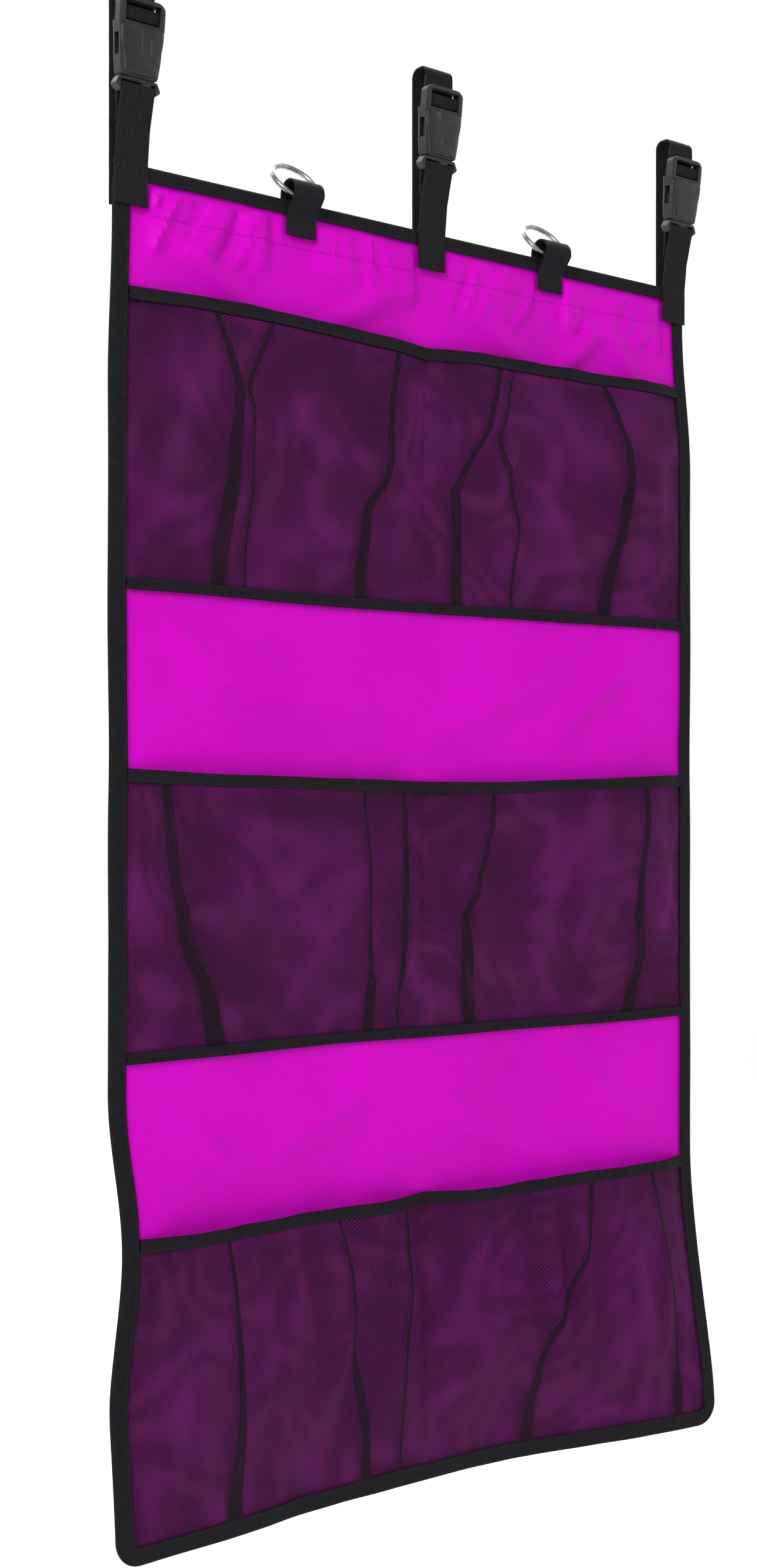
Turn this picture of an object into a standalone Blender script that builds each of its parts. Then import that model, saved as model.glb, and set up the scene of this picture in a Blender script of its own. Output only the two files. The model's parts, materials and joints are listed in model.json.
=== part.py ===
"""Hanging mesh-pocket organiser: a cloth panel with three rows of pleated mesh pockets.

Metres, +Z up. The panel stands in the XZ plane and its pockets face -Y. The origin is the
middle of the flat inner face at the top of the middle hanging loop, where a rail carries it.
"""
import math

import bmesh
import bpy
from mathutils import Vector

# ---- driving sizes -------------------------------------------------------------------------
PANEL_WIDTH = 0.535
PANEL_HEIGHT = 0.915
PANEL_THICK = 0.0010
CORNER_RADIUS = 0.018
GAP = 0.0003                     # what touching cloth, tape and plastic keep between their faces

WEBBING_WIDTH = 0.025
WEBBING_THICK = 0.0016
STRAP_SEAM = 0.028               # how far straps are sewn down the panel
STRAP_RISE = 0.118               # panel's top edge to the outside of the loops
STRAP_DEPTH = 0.0154             # loop depth, front leg to back leg, on the centre lines
LOOP_FLAT = 0.004                # flat stretch at the top of a loop

TAPE_THICK = 0.0008
TOP_TAPE_WIDTH = 0.0105
EDGE_TAPE_WIDTH = 0.0125
MOUTH_TAPE_WIDTH = 0.0088
FOOT_TAPE_WIDTH = 0.0078

HEM_DEPTH = 0.034
HEM_SEAM = 0.003
FACING_THICK = 0.0006
BATTEN_THICK = 0.0010
BATTEN_END_GAP = 0.012
BATTEN_EDGE_GAP = 0.0035

TOP_MARGIN = 0.080               # panel's top edge to the first pocket mouth
POCKET_HEIGHT = 0.198            # the two upper rows
BOTTOM_POCKET_HEIGHT = 0.212
MESH_THICK = 0.0005
POCKET_BULGE = 0.026
PLEAT_WIDTH = 0.0135
PLEAT_PLIES = 3
PLEAT_FROM_EDGE = 0.0855
PLEAT_FROM_CENTRE = 0.0535
PLEAT_RISE = 0.62                # share of a pocket's height that stays pleated

BUCKLE_RISE = 0.0525             # panel's top edge to the socket's mouth, along the strap
SOCKET_LENGTH = 0.0500
SOCKET_THICK = 0.0104
SOCKET_PLATE = 0.0330            # mouth to the first strap slot's side of the body
MOUTH_SIDE_WALL = 0.0031
RAIL_WIDTH = 0.0040
BAR_THICK = 0.0040
BAR_WIDTH = 0.0044
PLUG_BASE = 0.0100
PLUG_THICK = 0.0076
PRONG_LENGTH = 0.0245
PRONG_THICK = 0.0046
PRONG_LEG = 0.0026
BARB_FOOT = 0.0132
BARB_REACH = 0.0028
WINDOW_TOP = 0.0265
CAVITY_DEPTH = 0.0285
STRAP_SIDE_PLAY = 0.0005

KEEPER_FROM_CENTRE = 0.118
KEEPER_SEAM = 0.025
RING_WIRE = 0.0040
RING_SIDE_PLAY = 0.0060          # ring's inner diameter beyond the webbing's width
RING_LEAN = math.radians(39.0)
RING_AXIS_RISE = 0.0040          # panel's top edge to the line that a ring turns about
KEEPER_FORWARD = 0.0015          # how far a keeper's fold stands in front of its back leg

# ---- places worked out from the sizes ------------------------------------------------------
STRAP_STEP = PANEL_WIDTH / 2 - WEBBING_WIDTH / 2
STRAPS = (("left", -STRAP_STEP), ("middle", 0.0), ("right", STRAP_STEP))
KEEPERS = (("left", -KEEPER_FROM_CENTRE), ("right", KEEPER_FROM_CENTRE))

TOP_Z = WEBBING_THICK - STRAP_RISE
BOTTOM_Z = TOP_Z - PANEL_HEIGHT
EDGE_X = PANEL_WIDTH / 2
PLY = GAP + TAPE_THICK           # one tape ply with the gap under it
STRAP_PLY = GAP + WEBBING_THICK

BACK_LEG_Y = STRAP_DEPTH / 2
FACING_OUT_Y = BACK_LEG_Y - WEBBING_THICK / 2 - GAP
PANEL_BACK_Y = FACING_OUT_Y - FACING_THICK - GAP - BATTEN_THICK - GAP
PANEL_FRONT_Y = PANEL_BACK_Y - PANEL_THICK
MESH_Y = PANEL_FRONT_Y - GAP                       # back of the mesh where it is sewn flat
CHANNEL_FRONT_Y = MESH_Y - MESH_THICK - GAP        # inside of the front ply of an edge tape
CHANNEL_BACK_Y = PANEL_BACK_Y + GAP
TOP_CHANNEL_BACK_Y = PANEL_BACK_Y + GAP + FACING_THICK + GAP
TAPE_FRONT_Y = CHANNEL_FRONT_Y - TAPE_THICK
SEAT_Y = TAPE_FRONT_Y - GAP - WEBBING_THICK / 2    # centre line of webbing sewn on the front
CLOTH_TOP_Z = TOP_Z - PLY

RING_RADIUS = (WEBBING_WIDTH + RING_SIDE_PLAY + RING_WIRE) / 2
RING_INNER = RING_RADIUS - RING_WIRE / 2
CHORD_DEPTH = RING_RADIUS - math.sqrt(RING_RADIUS ** 2 - (WEBBING_WIDTH / 2) ** 2)
KEEPER_CLEAR = WEBBING_WIDTH / 2 + STRAP_SIDE_PLAY
KEEPER_INNER = RING_RADIUS - math.sqrt(RING_INNER ** 2 - KEEPER_CLEAR ** 2) - CHORD_DEPTH / 2
KEEPER_BEND = KEEPER_INNER + WEBBING_THICK / 2
RING_AXIS_Y = BACK_LEG_Y - KEEPER_BEND - KEEPER_FORWARD
RING_AXIS_Z = TOP_Z + RING_AXIS_RISE

SLOT_HALF = WEBBING_WIDTH / 2 + STRAP_SIDE_PLAY
SOCKET_HALF = SLOT_HALF + RAIL_WIDTH
MOUTH_HALF = SLOT_HALF - 0.0025
MOUTH_OUTER = MOUTH_HALF + MOUTH_SIDE_WALL
STRAP_V = BAR_THICK / 2 + GAP + WEBBING_THICK / 2  # strap's centre line off a bar's middle
BUCKLE_TOP_Y = BACK_LEG_Y - STRAP_DEPTH - STRAP_V
LEAN = math.atan2(SEAT_Y - BUCKLE_TOP_Y, BUCKLE_RISE + SOCKET_LENGTH)


# ---- small tools ---------------------------------------------------------------------------
def clear_scene():
    for item in list(bpy.data.objects):
        bpy.data.objects.remove(item)


def finish(name, colour, roughness, metallic=0.0):
    made = bpy.data.materials.new(name)
    made.use_nodes = True
    shader = made.node_tree.nodes["Principled BSDF"]
    shader.inputs["Base Color"].default_value = (*colour, 1.0)
    shader.inputs["Roughness"].default_value = roughness
    shader.inputs["Metallic"].default_value = metallic
    made.diffuse_color = (*colour, 1.0)
    return made


def add_part(name, mesh_data, material, smooth_angle=0.0):
    """Link a mesh as one named sub-part with its material."""
    mesh = bpy.data.meshes.new(name)
    bmesh.ops.recalc_face_normals(mesh_data, faces=mesh_data.faces)
    if mesh_data.calc_volume(signed=True) < 0:
        bmesh.ops.reverse_faces(mesh_data, faces=mesh_data.faces)
    mesh_data.to_mesh(mesh)
    mesh_data.free()
    mesh.materials.append(material)
    if smooth_angle:
        mesh.shade_smooth()
        mesh.set_sharp_from_angle(angle=smooth_angle)
    part = bpy.data.objects.new(name, mesh)
    bpy.context.scene.collection.objects.link(part)
    return part


def prism(outline, low, high, plane="xz"):
    """Extrude a closed outline: xz outlines run along Y, yz outlines along X."""
    made = bmesh.new()
    if plane == "xz":
        corners = [made.verts.new((a, low, b)) for a, b in outline]
        step = Vector((0, high - low, 0))
    else:
        corners = [made.verts.new((low, a, b)) for a, b in outline]
        step = Vector((high - low, 0, 0))
    face = made.faces.new(corners)
    pushed = bmesh.ops.extrude_face_region(made, geom=[face])
    moved = [item for item in pushed["geom"] if isinstance(item, bmesh.types.BMVert)]
    bmesh.ops.translate(made, verts=moved, vec=step)
    return made


def block(low, high):
    made = bmesh.new()
    bmesh.ops.create_cube(made, size=1.0)
    for vert in made.verts:
        vert.co = Vector(low[i] if vert.co[i] < 0 else high[i] for i in range(3))
    return made


def arc(centre, radius, start, end, steps):
    """Points on an arc; angles in degrees, from the first axis towards the second."""
    points = []
    for i in range(steps + 1):
        turn = math.radians(start + (end - start) * i / steps)
        points.append((centre[0] + radius * math.cos(turn), centre[1] + radius * math.sin(turn)))
    return points


def offset_path(path, distance):
    """A path moved sideways, with mitred corners."""
    moved = []
    for i, point in enumerate(path):
        here = Vector(point)
        before = (here - Vector(path[i - 1])).normalized() if i else None
        after = (Vector(path[i + 1]) - here).normalized() if i + 1 < len(path) else None
        before = before or after
        after = after or before
        side = Vector((-before.y - after.y, before.x + after.x)).normalized()
        reach = distance / max(0.5, side.dot(Vector((-before.y, before.x))))
        moved.append(tuple(here + side * reach))
    return moved


def ribbon(name, path, centre_x, width, thick, material):
    """Webbing: a (y, z) centre line given its thickness, then its width along X."""
    outline = offset_path(path, thick / 2) + offset_path(path, -thick / 2)[::-1]
    made = prism(outline, centre_x - width / 2, centre_x + width / 2, plane="yz")
    return add_part(name, made, material, math.radians(35))


def round_corners(outline, radius, steps=3):
    """Replace each corner of a closed outline by a short curve."""
    rounded = []
    for i, point in enumerate(outline):
        here = Vector(point)
        before = Vector(outline[i - 1])
        after = Vector(outline[(i + 1) % len(outline)])
        reach = min(radius, (before - here).length * 0.45, (after - here).length * 0.45)
        start = here + (before - here).normalized() * reach
        end = here + (after - here).normalized() * reach
        for k in range(steps + 1):
            t = k / steps
            rounded.append(tuple(start * (1 - t) ** 2 + here * 2 * t * (1 - t) + end * t ** 2))
    return rounded


def cutter(name, mesh_data, parent=None):
    tool = add_part(name, mesh_data, FINISH["dark_plastic"])
    tool.hide_render = True
    tool.display_type = "WIRE"
    tool.parent = parent
    return tool


def cut(part, tool):
    modifier = part.modifiers.new(tool.name, "BOOLEAN")
    modifier.object = tool
    modifier.operation = "DIFFERENCE"
    modifier.solver = "EXACT"


def soften(part, width, segments=2):
    modifier = part.modifiers.new("Edges", "BEVEL")
    modifier.width = width
    modifier.segments = segments
    modifier.limit_method = "ANGLE"
    modifier.angle_limit = math.radians(40)


# ---- cloth panel, its hem and its binding --------------------------------------------------
def rounded_panel(inset, top_z):
    """Panel outline in (x, z) with round bottom corners, moved in by a distance."""
    half = EDGE_X - inset
    radius = CORNER_RADIUS - inset
    low = BOTTOM_Z + inset
    outline = [(half, top_z)]
    outline += arc((half - radius, low + radius), radius, 0, -90, 8)
    outline += arc((-half + radius, low + radius), radius, -90, -180, 8)
    outline += [(-half, top_z)]
    return outline


def make_panel():
    outline = rounded_panel(PLY, CLOTH_TOP_Z)
    add_part("back_panel", prism(outline, PANEL_FRONT_Y, PANEL_BACK_Y), FINISH["panel_cloth"])


def make_hem():
    """Facing strip sewn behind the top of the panel as a sleeve for a stiffening batten."""
    half = EDGE_X - EDGE_TAPE_WIDTH - GAP
    near = PANEL_BACK_Y + GAP + FACING_THICK / 2
    far = FACING_OUT_Y - FACING_THICK / 2
    step_z = TOP_Z - TOP_TAPE_WIDTH - GAP
    foot_z = TOP_Z - HEM_DEPTH
    path = [(near, CLOTH_TOP_Z), (near, step_z), (far, step_z - (far - near))]
    path += [(far, foot_z + HEM_SEAM + far - near), (near, foot_z + HEM_SEAM), (near, foot_z)]
    ribbon("hem_facing", path, 0.0, half * 2, FACING_THICK, FINISH["panel_cloth"])
    batten_half = half - BATTEN_END_GAP
    batten_y = PANEL_BACK_Y + GAP
    low = (-batten_half, batten_y, foot_z + HEM_SEAM + BATTEN_EDGE_GAP)
    high = (batten_half, batten_y + BATTEN_THICK, step_z - BATTEN_EDGE_GAP)
    add_part("hem_batten", block(low, high), FINISH["batten_plastic"])


def make_top_binding():
    """Tape folded over the top edge, open downwards."""
    front = CHANNEL_FRONT_Y - TAPE_THICK / 2
    back = TOP_CHANNEL_BACK_Y + TAPE_THICK / 2
    foot = TOP_Z - TOP_TAPE_WIDTH
    crown = TOP_Z - TAPE_THICK / 2
    path = [(front, foot), (front, crown), (back, crown), (back, foot)]
    ribbon("top_binding", path, 0.0, PANEL_WIDTH, TAPE_THICK, FINISH["binding"])


def make_edge_binding():
    """Tape folded round the two sides and the bottom of the panel, as one channel."""
    top_z = TOP_Z - TOP_TAPE_WIDTH - GAP
    made = bmesh.new()
    front, back = CHANNEL_FRONT_Y - TAPE_THICK, CHANNEL_BACK_Y + TAPE_THICK
    section = ((EDGE_TAPE_WIDTH, front), (0.0, front), (0.0, back), (EDGE_TAPE_WIDTH, back),
               (EDGE_TAPE_WIDTH, CHANNEL_BACK_Y), (TAPE_THICK, CHANNEL_BACK_Y),
               (TAPE_THICK, CHANNEL_FRONT_Y), (EDGE_TAPE_WIDTH, CHANNEL_FRONT_Y))
    rows = []
    for inset, y in section:
        rows.append([made.verts.new((x, y, z)) for x, z in rounded_panel(inset, top_z)])
    count = len(rows[0])
    for i, row in enumerate(rows):
        after = rows[(i + 1) % len(rows)]
        for k in range(count - 1):
            made.faces.new((row[k], row[k + 1], after[k + 1], after[k]))
    made.faces.new([row[0] for row in rows])
    made.faces.new([row[-1] for row in rows])
    add_part("edge_binding", made, FINISH["binding"], math.radians(35))


# ---- mesh pockets --------------------------------------------------------------------------
def pocket_rows():
    """(row number, mouth height, foot height): the gaps between the rows are equal."""
    pockets = 2 * POCKET_HEIGHT + BOTTOM_POCKET_HEIGHT
    space = (PANEL_HEIGHT - TOP_MARGIN - pockets) / 2
    rows = []
    mouth = TOP_Z - TOP_MARGIN
    for number, height in enumerate((POCKET_HEIGHT, POCKET_HEIGHT, BOTTOM_POCKET_HEIGHT), 1):
        rows.append((number, mouth, mouth - height))
        mouth -= height + space
    return rows


def smooth_step(value):
    value = min(1.0, max(0.0, value))
    return value * value * (3 - 2 * value)


MESH_EDGE = EDGE_X - PLY
CORNER_TRIM = PLY + 0.0015       # the lowest mesh stops this far above the panel's bottom edge
FULL_EDGE = EDGE_X - PLEAT_FROM_EDGE
FULL_CENTRE = PLEAT_FROM_CENTRE
FLAT_EDGE = EDGE_X - EDGE_TAPE_WIDTH - 2 * GAP
FLAT_CENTRE = 0.0030


def stand_off(x, share_up):
    """How far a pocket stands off the panel: 0 at its sewn sides and foot, 1 at its mouth."""
    distance = abs(x)
    if distance >= FULL_EDGE:
        across = (FLAT_EDGE - distance) / (FLAT_EDGE - FULL_EDGE)
    else:
        across = (distance - FLAT_CENTRE) / (FULL_CENTRE - FLAT_CENTRE)
    return min(1.0, max(0.0, across)) * smooth_step(share_up / 0.42)


def mouth_lift(x, below_mouth):
    """Room for the back ply of the mouth tape, only as deep as that tape."""
    if abs(x) > FLAT_EDGE:
        return 0.0
    near_mouth = 1 - smooth_step((below_mouth - MOUTH_TAPE_WIDTH) / MOUTH_TAPE_WIDTH)
    near_edge = smooth_step((FLAT_EDGE - abs(x)) / EDGE_TAPE_WIDTH)
    return PLY * near_mouth * near_edge


def sewn_top(foot):
    """Top of the tape that covers a row's sewn foot."""
    bottom_row = foot < BOTTOM_Z + TAPE_THICK
    return foot + (EDGE_TAPE_WIDTH if bottom_row else FOOT_TAPE_WIDTH) + GAP


def mesh_back(x, z, mouth, foot):
    share_up = (z - sewn_top(foot)) / (mouth - sewn_top(foot))
    return MESH_Y - POCKET_BULGE * stand_off(x, share_up) - mouth_lift(x, mouth - z)


def across_columns():
    """Column places along X: pleat edges, sewn lines and a few even steps between them."""
    step = 0.0004
    half = PLEAT_WIDTH / 2
    marks = [0.0, FLAT_CENTRE, MESH_EDGE, FLAT_EDGE, FLAT_EDGE - EDGE_TAPE_WIDTH]
    for pleat in (FULL_EDGE, FULL_CENTRE):
        marks += [pleat - half - step, pleat - half, pleat + half, pleat + half + step]
    marks += [FULL_CENTRE / 2, (FULL_CENTRE + FULL_EDGE) / 2, (FULL_EDGE + FLAT_EDGE) / 2]
    columns = sorted({round(mark, 6) for mark in marks})
    return [-x for x in columns[::-1] if x > 0] + columns


def plies(x, z, mouth, foot):
    if foot < BOTTOM_Z + TAPE_THICK and z < sewn_top(foot) + 0.001:
        return 1
    top = foot + (mouth - foot) * PLEAT_RISE + 0.0001
    for pleat in (FULL_EDGE, FULL_CENTRE):
        if abs(abs(x) - pleat) <= PLEAT_WIDTH / 2 + 1e-5 and z <= top:
            return PLEAT_PLIES
    return 1


def corner_fit(x, z):
    """Draw a column in where the panel's bottom corner is round."""
    start = EDGE_X - CORNER_RADIUS
    drop = BOTTOM_Z + CORNER_RADIUS - z
    if drop <= 0 or abs(x) <= start:
        return x
    reach = CORNER_RADIUS - PLY
    share = (abs(x) - start) / (MESH_EDGE - start)
    return math.copysign(start + share * math.sqrt(reach ** 2 - drop ** 2), x)


def make_mesh_row(number, mouth, foot):
    """One length of mesh with its pleats folded flat, as a sheet with a wall thickness.

    Front and back are split along the same diagonals, so the wall stays as thick everywhere.
    """
    bottom = foot + (CORNER_TRIM if number == 3 else 0.0)
    seam = sewn_top(foot)
    shares = (0.07, 0.15, 0.27, 0.48, PLEAT_RISE, PLEAT_RISE + 0.004, 0.8)
    levels = [bottom, (bottom + seam) / 2, seam, seam + 0.0015]
    levels += [foot + (mouth - foot) * share for share in shares if share > 0.08 or number < 3]
    levels += [mouth - 2 * MOUTH_TAPE_WIDTH, mouth - MOUTH_TAPE_WIDTH, mouth - PLY]
    columns = across_columns()
    made = bmesh.new()
    front, back = [], []
    for z in levels:
        front_row, back_row = [], []
        for x in columns:
            layers = plies(x, z, mouth, foot)
            side = corner_fit(x, z)
            y = mesh_back(x, z, mouth, foot)
            back_row.append(made.verts.new((side, y, z)))
            front_row.append(made.verts.new((side, y - MESH_THICK * layers, z)))
        front.append(front_row)
        back.append(back_row)
    for rows, turn in ((back, True), (front, False)):
        for i in range(len(levels) - 1):
            for k in range(len(columns) - 1):
                a, b, c, d = rows[i][k], rows[i][k + 1], rows[i + 1][k + 1], rows[i + 1][k]
                for half in ((a, b, c), (a, c, d)):
                    made.faces.new(half[::-1] if turn else half)
    rim_front = front[0] + [row[-1] for row in front[1:]] + front[-1][-2::-1]
    rim_front += [row[0] for row in front[-2:0:-1]]
    rim_back = back[0] + [row[-1] for row in back[1:]] + back[-1][-2::-1]
    rim_back += [row[0] for row in back[-2:0:-1]]
    for k in range(len(rim_front)):
        j = (k + 1) % len(rim_front)
        made.faces.new((rim_front[j], rim_front[k], rim_back[k], rim_back[j]))
    add_part(f"mesh_row_{number}", made, FINISH["mesh"])


def make_mouth_binding(number, mouth, foot):
    """Tape folded over the top edge of a row of mesh."""
    limit = FLAT_EDGE - 0.0035
    columns = [x for x in across_columns() if abs(x) < limit]
    columns = [-limit] + columns + [limit]
    made = bmesh.new()
    rings = []
    for x in columns:
        base = mesh_back(x, mouth, mouth, foot)
        low = mouth - MOUTH_TAPE_WIDTH
        inner_back, inner_front = base + GAP, base - MESH_THICK - GAP
        outer_back, outer_front = inner_back + TAPE_THICK, inner_front - TAPE_THICK
        if outer_back > PANEL_FRONT_Y - GAP:
            outer_back = PANEL_FRONT_Y - GAP
        crown = mouth - PLY + GAP
        section = ((outer_front, low), (outer_front, mouth), (outer_back, mouth),
                   (outer_back, low), (inner_back, low), (inner_back, crown),
                   (inner_front, crown), (inner_front, low))
        rings.append([made.verts.new((x, y, z)) for y, z in section])
    for i in range(len(rings) - 1):
        for k in range(8):
            j = (k + 1) % 8
            made.faces.new((rings[i][k], rings[i][j], rings[i + 1][j], rings[i + 1][k]))
    made.faces.new(rings[0])
    made.faces.new(rings[-1][::-1])
    add_part(f"mouth_binding_{number}", made, FINISH["binding"])


def make_foot_tape(number, foot):
    """Flat tape over the sewn foot of an upper row."""
    half = EDGE_X - EDGE_TAPE_WIDTH - GAP
    front = MESH_Y - MESH_THICK * PLEAT_PLIES - GAP
    low = (-half, front - TAPE_THICK, foot - GAP)
    high = (half, front, foot - GAP + FOOT_TAPE_WIDTH)
    part = add_part(f"foot_tape_{number}", block(low, high), FINISH["binding"])
    return part


# ---- straps and buckles --------------------------------------------------------------------
def strap_point(v, w):
    """(y, z) of a point v in front of a buckle's middle plane and w above its mouth."""
    rise = BUCKLE_RISE + w
    y = SEAT_Y - rise * math.sin(LEAN) - v * math.cos(LEAN)
    z = TOP_Z + rise * math.cos(LEAN) - v * math.sin(LEAN)
    return y, z


MID_BAR_LOW = SOCKET_PLATE + 0.0050
TOP_BAR_LOW = SOCKET_LENGTH - BAR_WIDTH + 0.0009
MID_BAR_HIGH = MID_BAR_LOW + BAR_WIDTH
LOWER_PASS = MID_BAR_LOW - GAP * 3 - WEBBING_THICK / 2
UPPER_PASS = MID_BAR_HIGH + GAP * 2 + WEBBING_THICK / 2
BEND = 0.0010


def rounded_path(corners, radius):
    """An open path whose inner corners become short curves."""
    path = [corners[0]]
    for i in range(1, len(corners) - 1):
        here = Vector(corners[i])
        start = here + (Vector(corners[i - 1]) - here).normalized() * radius
        end = here + (Vector(corners[i + 1]) - here).normalized() * radius
        for t in (0.0, 0.35, 0.65, 1.0):
            path.append(tuple(start * (1 - t) ** 2 + here * 2 * t * (1 - t) + end * t ** 2))
    return path + [corners[-1]]


def make_loop_strap(side, centre_x):
    """Webbing from behind the panel, over the rail and through the socket's two slots."""
    tail_v = -STRAP_V - STRAP_PLY
    buckled = [strap_point(tail_v, SOCKET_LENGTH + 0.008), strap_point(tail_v, LOWER_PASS),
               strap_point(STRAP_V, LOWER_PASS), strap_point(STRAP_V, UPPER_PASS),
               strap_point(-STRAP_V, UPPER_PASS), strap_point(-STRAP_V, SOCKET_LENGTH + 0.001)]
    path = rounded_path(buckled, BEND)
    front_y = path[-1][0]
    bend = (BACK_LEG_Y - front_y - LOOP_FLAT) / 2
    crown = WEBBING_THICK / 2
    path += arc((front_y + bend, crown - bend), bend, 180, 90, 7)
    path += arc((BACK_LEG_Y - bend, crown - bend), bend, 90, 0, 7)
    path += [(BACK_LEG_Y, TOP_Z - STRAP_SEAM)]
    ribbon(f"loop_strap_{side}", path, centre_x, WEBBING_WIDTH, WEBBING_THICK, FINISH["webbing"])


def make_lower_strap(side, centre_x):
    """Short webbing sewn on the panel's front, folded round the plug's bar."""
    pass_w = -PLUG_BASE + BAR_WIDTH + GAP * 2 + WEBBING_THICK / 2
    end_w = -PLUG_BASE - 0.018
    corners = [(SEAT_Y, TOP_Z - STRAP_SEAM), (SEAT_Y, TOP_Z), strap_point(0.0, end_w - 0.004),
               strap_point(STRAP_V, -PLUG_BASE), strap_point(STRAP_V, pass_w),
               strap_point(-STRAP_V, pass_w), strap_point(-STRAP_V, -PLUG_BASE),
               strap_point(-STRAP_PLY, end_w + 0.004), strap_point(-STRAP_PLY, end_w)]
    path = rounded_path(corners, BEND)
    ribbon(f"lower_strap_{side}", path, centre_x, WEBBING_WIDTH, WEBBING_THICK, FINISH["webbing"])


def mirrored(outline):
    """A right-hand outline, bottom to top, closed by its left-hand image."""
    return outline + [(-x, z) for x, z in outline[::-1]]


def buckle_frame(side, centre_x):
    """Empty at the middle of a socket's mouth, turned with the strap's lean."""
    frame = bpy.data.objects.new(f"buckle_frame_{side}", None)
    bpy.context.scene.collection.objects.link(frame)
    y, z = strap_point(0.0, 0.0)
    frame.location = (centre_x, y, z)
    frame.rotation_euler = (LEAN, 0.0, 0.0)
    return frame


def make_socket(side, frame):
    """Female half: a bowed shell with side windows and a two-slot strap adjuster."""
    right = [(MOUTH_OUTER, 0.0), (MOUTH_OUTER + 0.0016, 0.012), (SOCKET_HALF - 0.0008, WINDOW_TOP),
             (SOCKET_HALF, SOCKET_PLATE), (SOCKET_HALF, SOCKET_LENGTH - 0.0030),
             (SOCKET_HALF - 0.0040, SOCKET_LENGTH)]
    outline = round_corners(mirrored(right), 0.0022)
    half = SOCKET_THICK / 2
    socket = add_part(f"buckle_socket_{side}", prism(outline, -half, half),
                      FINISH["dark_plastic"], math.radians(35))
    socket.parent = frame
    soften(socket, 0.0012)
    deep = SOCKET_THICK
    bar = BAR_THICK / 2
    cuts = {
        "cavity": ((-MOUTH_HALF, -PLUG_THICK / 2, -deep), (MOUTH_HALF, PLUG_THICK / 2, CAVITY_DEPTH)),
        "windows": ((-deep * 3, -PRONG_THICK / 2 - GAP, BARB_FOOT - GAP),
                    (deep * 3, PRONG_THICK / 2 + GAP, WINDOW_TOP)),
        "lower_slot": ((-SLOT_HALF, -deep, SOCKET_PLATE + 0.0012), (SLOT_HALF, deep, MID_BAR_LOW)),
        "upper_slot": ((-SLOT_HALF, -deep, MID_BAR_HIGH), (SLOT_HALF, deep, TOP_BAR_LOW)),
        "bar_front": ((-SLOT_HALF, -deep, SOCKET_PLATE + 0.0030),
                      (SLOT_HALF, -bar, SOCKET_LENGTH - 0.0030)),
        "bar_back": ((-deep * 3, bar, SOCKET_PLATE + 0.0012), (deep * 3, deep, deep * 9)),
    }
    for name, (low, high) in cuts.items():
        cut(socket, cutter(f"cut_{name}_{side}", block(low, high), frame))


def make_plug(side, frame):
    """Male half: a slotted base with a centre guide that enters the socket."""
    half = SOCKET_HALF
    guide = 0.0022
    right = [(half - 0.0050, -PLUG_BASE), (half, -PLUG_BASE + 0.0040), (half - 0.0030, -GAP),
             (MOUTH_HALF - GAP, -GAP), (MOUTH_HALF - GAP, 0.0), (guide, 0.0015),
             (guide, CAVITY_DEPTH - 0.0035)]
    outline = round_corners(mirrored(right), 0.0012)
    thick = PLUG_THICK / 2 - GAP
    plug = add_part(f"buckle_plug_{side}", prism(outline, -thick, thick),
                    FINISH["dark_plastic"], math.radians(35))
    plug.parent = frame
    soften(plug, 0.0006, 1)
    bar = BAR_THICK / 2
    slot_low = -PLUG_BASE + BAR_WIDTH
    slot = block((-SLOT_HALF, -PLUG_THICK, slot_low), (SLOT_HALF, PLUG_THICK, slot_low + 0.0032))
    cut(plug, cutter(f"cut_plug_slot_{side}", slot, frame))
    for name, sign in (("front", -1), ("back", 1)):
        ends = sorted((sign * bar, sign * PLUG_THICK))
        flat = block((-SLOT_HALF, ends[0], -PLUG_BASE * 2), (SLOT_HALF, ends[1], slot_low + 0.001))
        cut(plug, cutter(f"cut_plug_{name}_{side}", flat, frame))


PRONG_X = MOUTH_HALF - GAP - PRONG_LEG / 2 - 0.0009
PRONG_AXIS_W = 0.0030


def make_prong(side, hand, sign, frame):
    """Springy prong with a barb; its origin is on the line that it bends about."""
    leg = PRONG_LEG / 2
    reach = MOUTH_HALF + BARB_REACH - PRONG_X
    low = 0.0018 - PRONG_AXIS_W
    foot = BARB_FOOT + GAP - PRONG_AXIS_W
    tip = PRONG_LENGTH - PRONG_AXIS_W
    shape = [(-leg, low), (leg, low), (leg, foot), (reach, foot), (reach, foot + 0.0060),
             (reach - 0.0024, tip), (reach - 0.0046, tip), (-leg, foot)]
    outline = round_corners([(sign * x, z) for x, z in shape], 0.0009, 2)
    made = prism(outline, -PRONG_THICK / 2, PRONG_THICK / 2)
    prong = add_part(f"buckle_prong_{side}_{hand}", made, FINISH["dark_plastic"], math.radians(35))
    prong.parent = frame
    prong.location = (sign * PRONG_X, 0.0, PRONG_AXIS_W)


def make_strap(side, centre_x):
    frame = buckle_frame(side, centre_x)
    make_lower_strap(side, centre_x)
    make_loop_strap(side, centre_x)
    make_socket(side, frame)
    make_plug(side, frame)
    make_prong(side, "left", -1, frame)
    make_prong(side, "right", 1, frame)


# ---- rings ---------------------------------------------------------------------------------
def make_keeper(side, centre_x):
    """Webbing folded round the foot of a ring and sewn to both faces of the panel."""
    axis = (RING_AXIS_Y, RING_AXIS_Z)
    path = [(BACK_LEG_Y, TOP_Z - KEEPER_SEAM), (BACK_LEG_Y, TOP_Z)]
    path += arc(axis, KEEPER_BEND, 0, 200, 20)
    path += [(SEAT_Y, TOP_Z - TOP_TAPE_WIDTH), (SEAT_Y, TOP_Z - KEEPER_SEAM)]
    ribbon(f"ring_keeper_{side}", path, centre_x, WEBBING_WIDTH, WEBBING_THICK, FINISH["webbing"])


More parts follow.
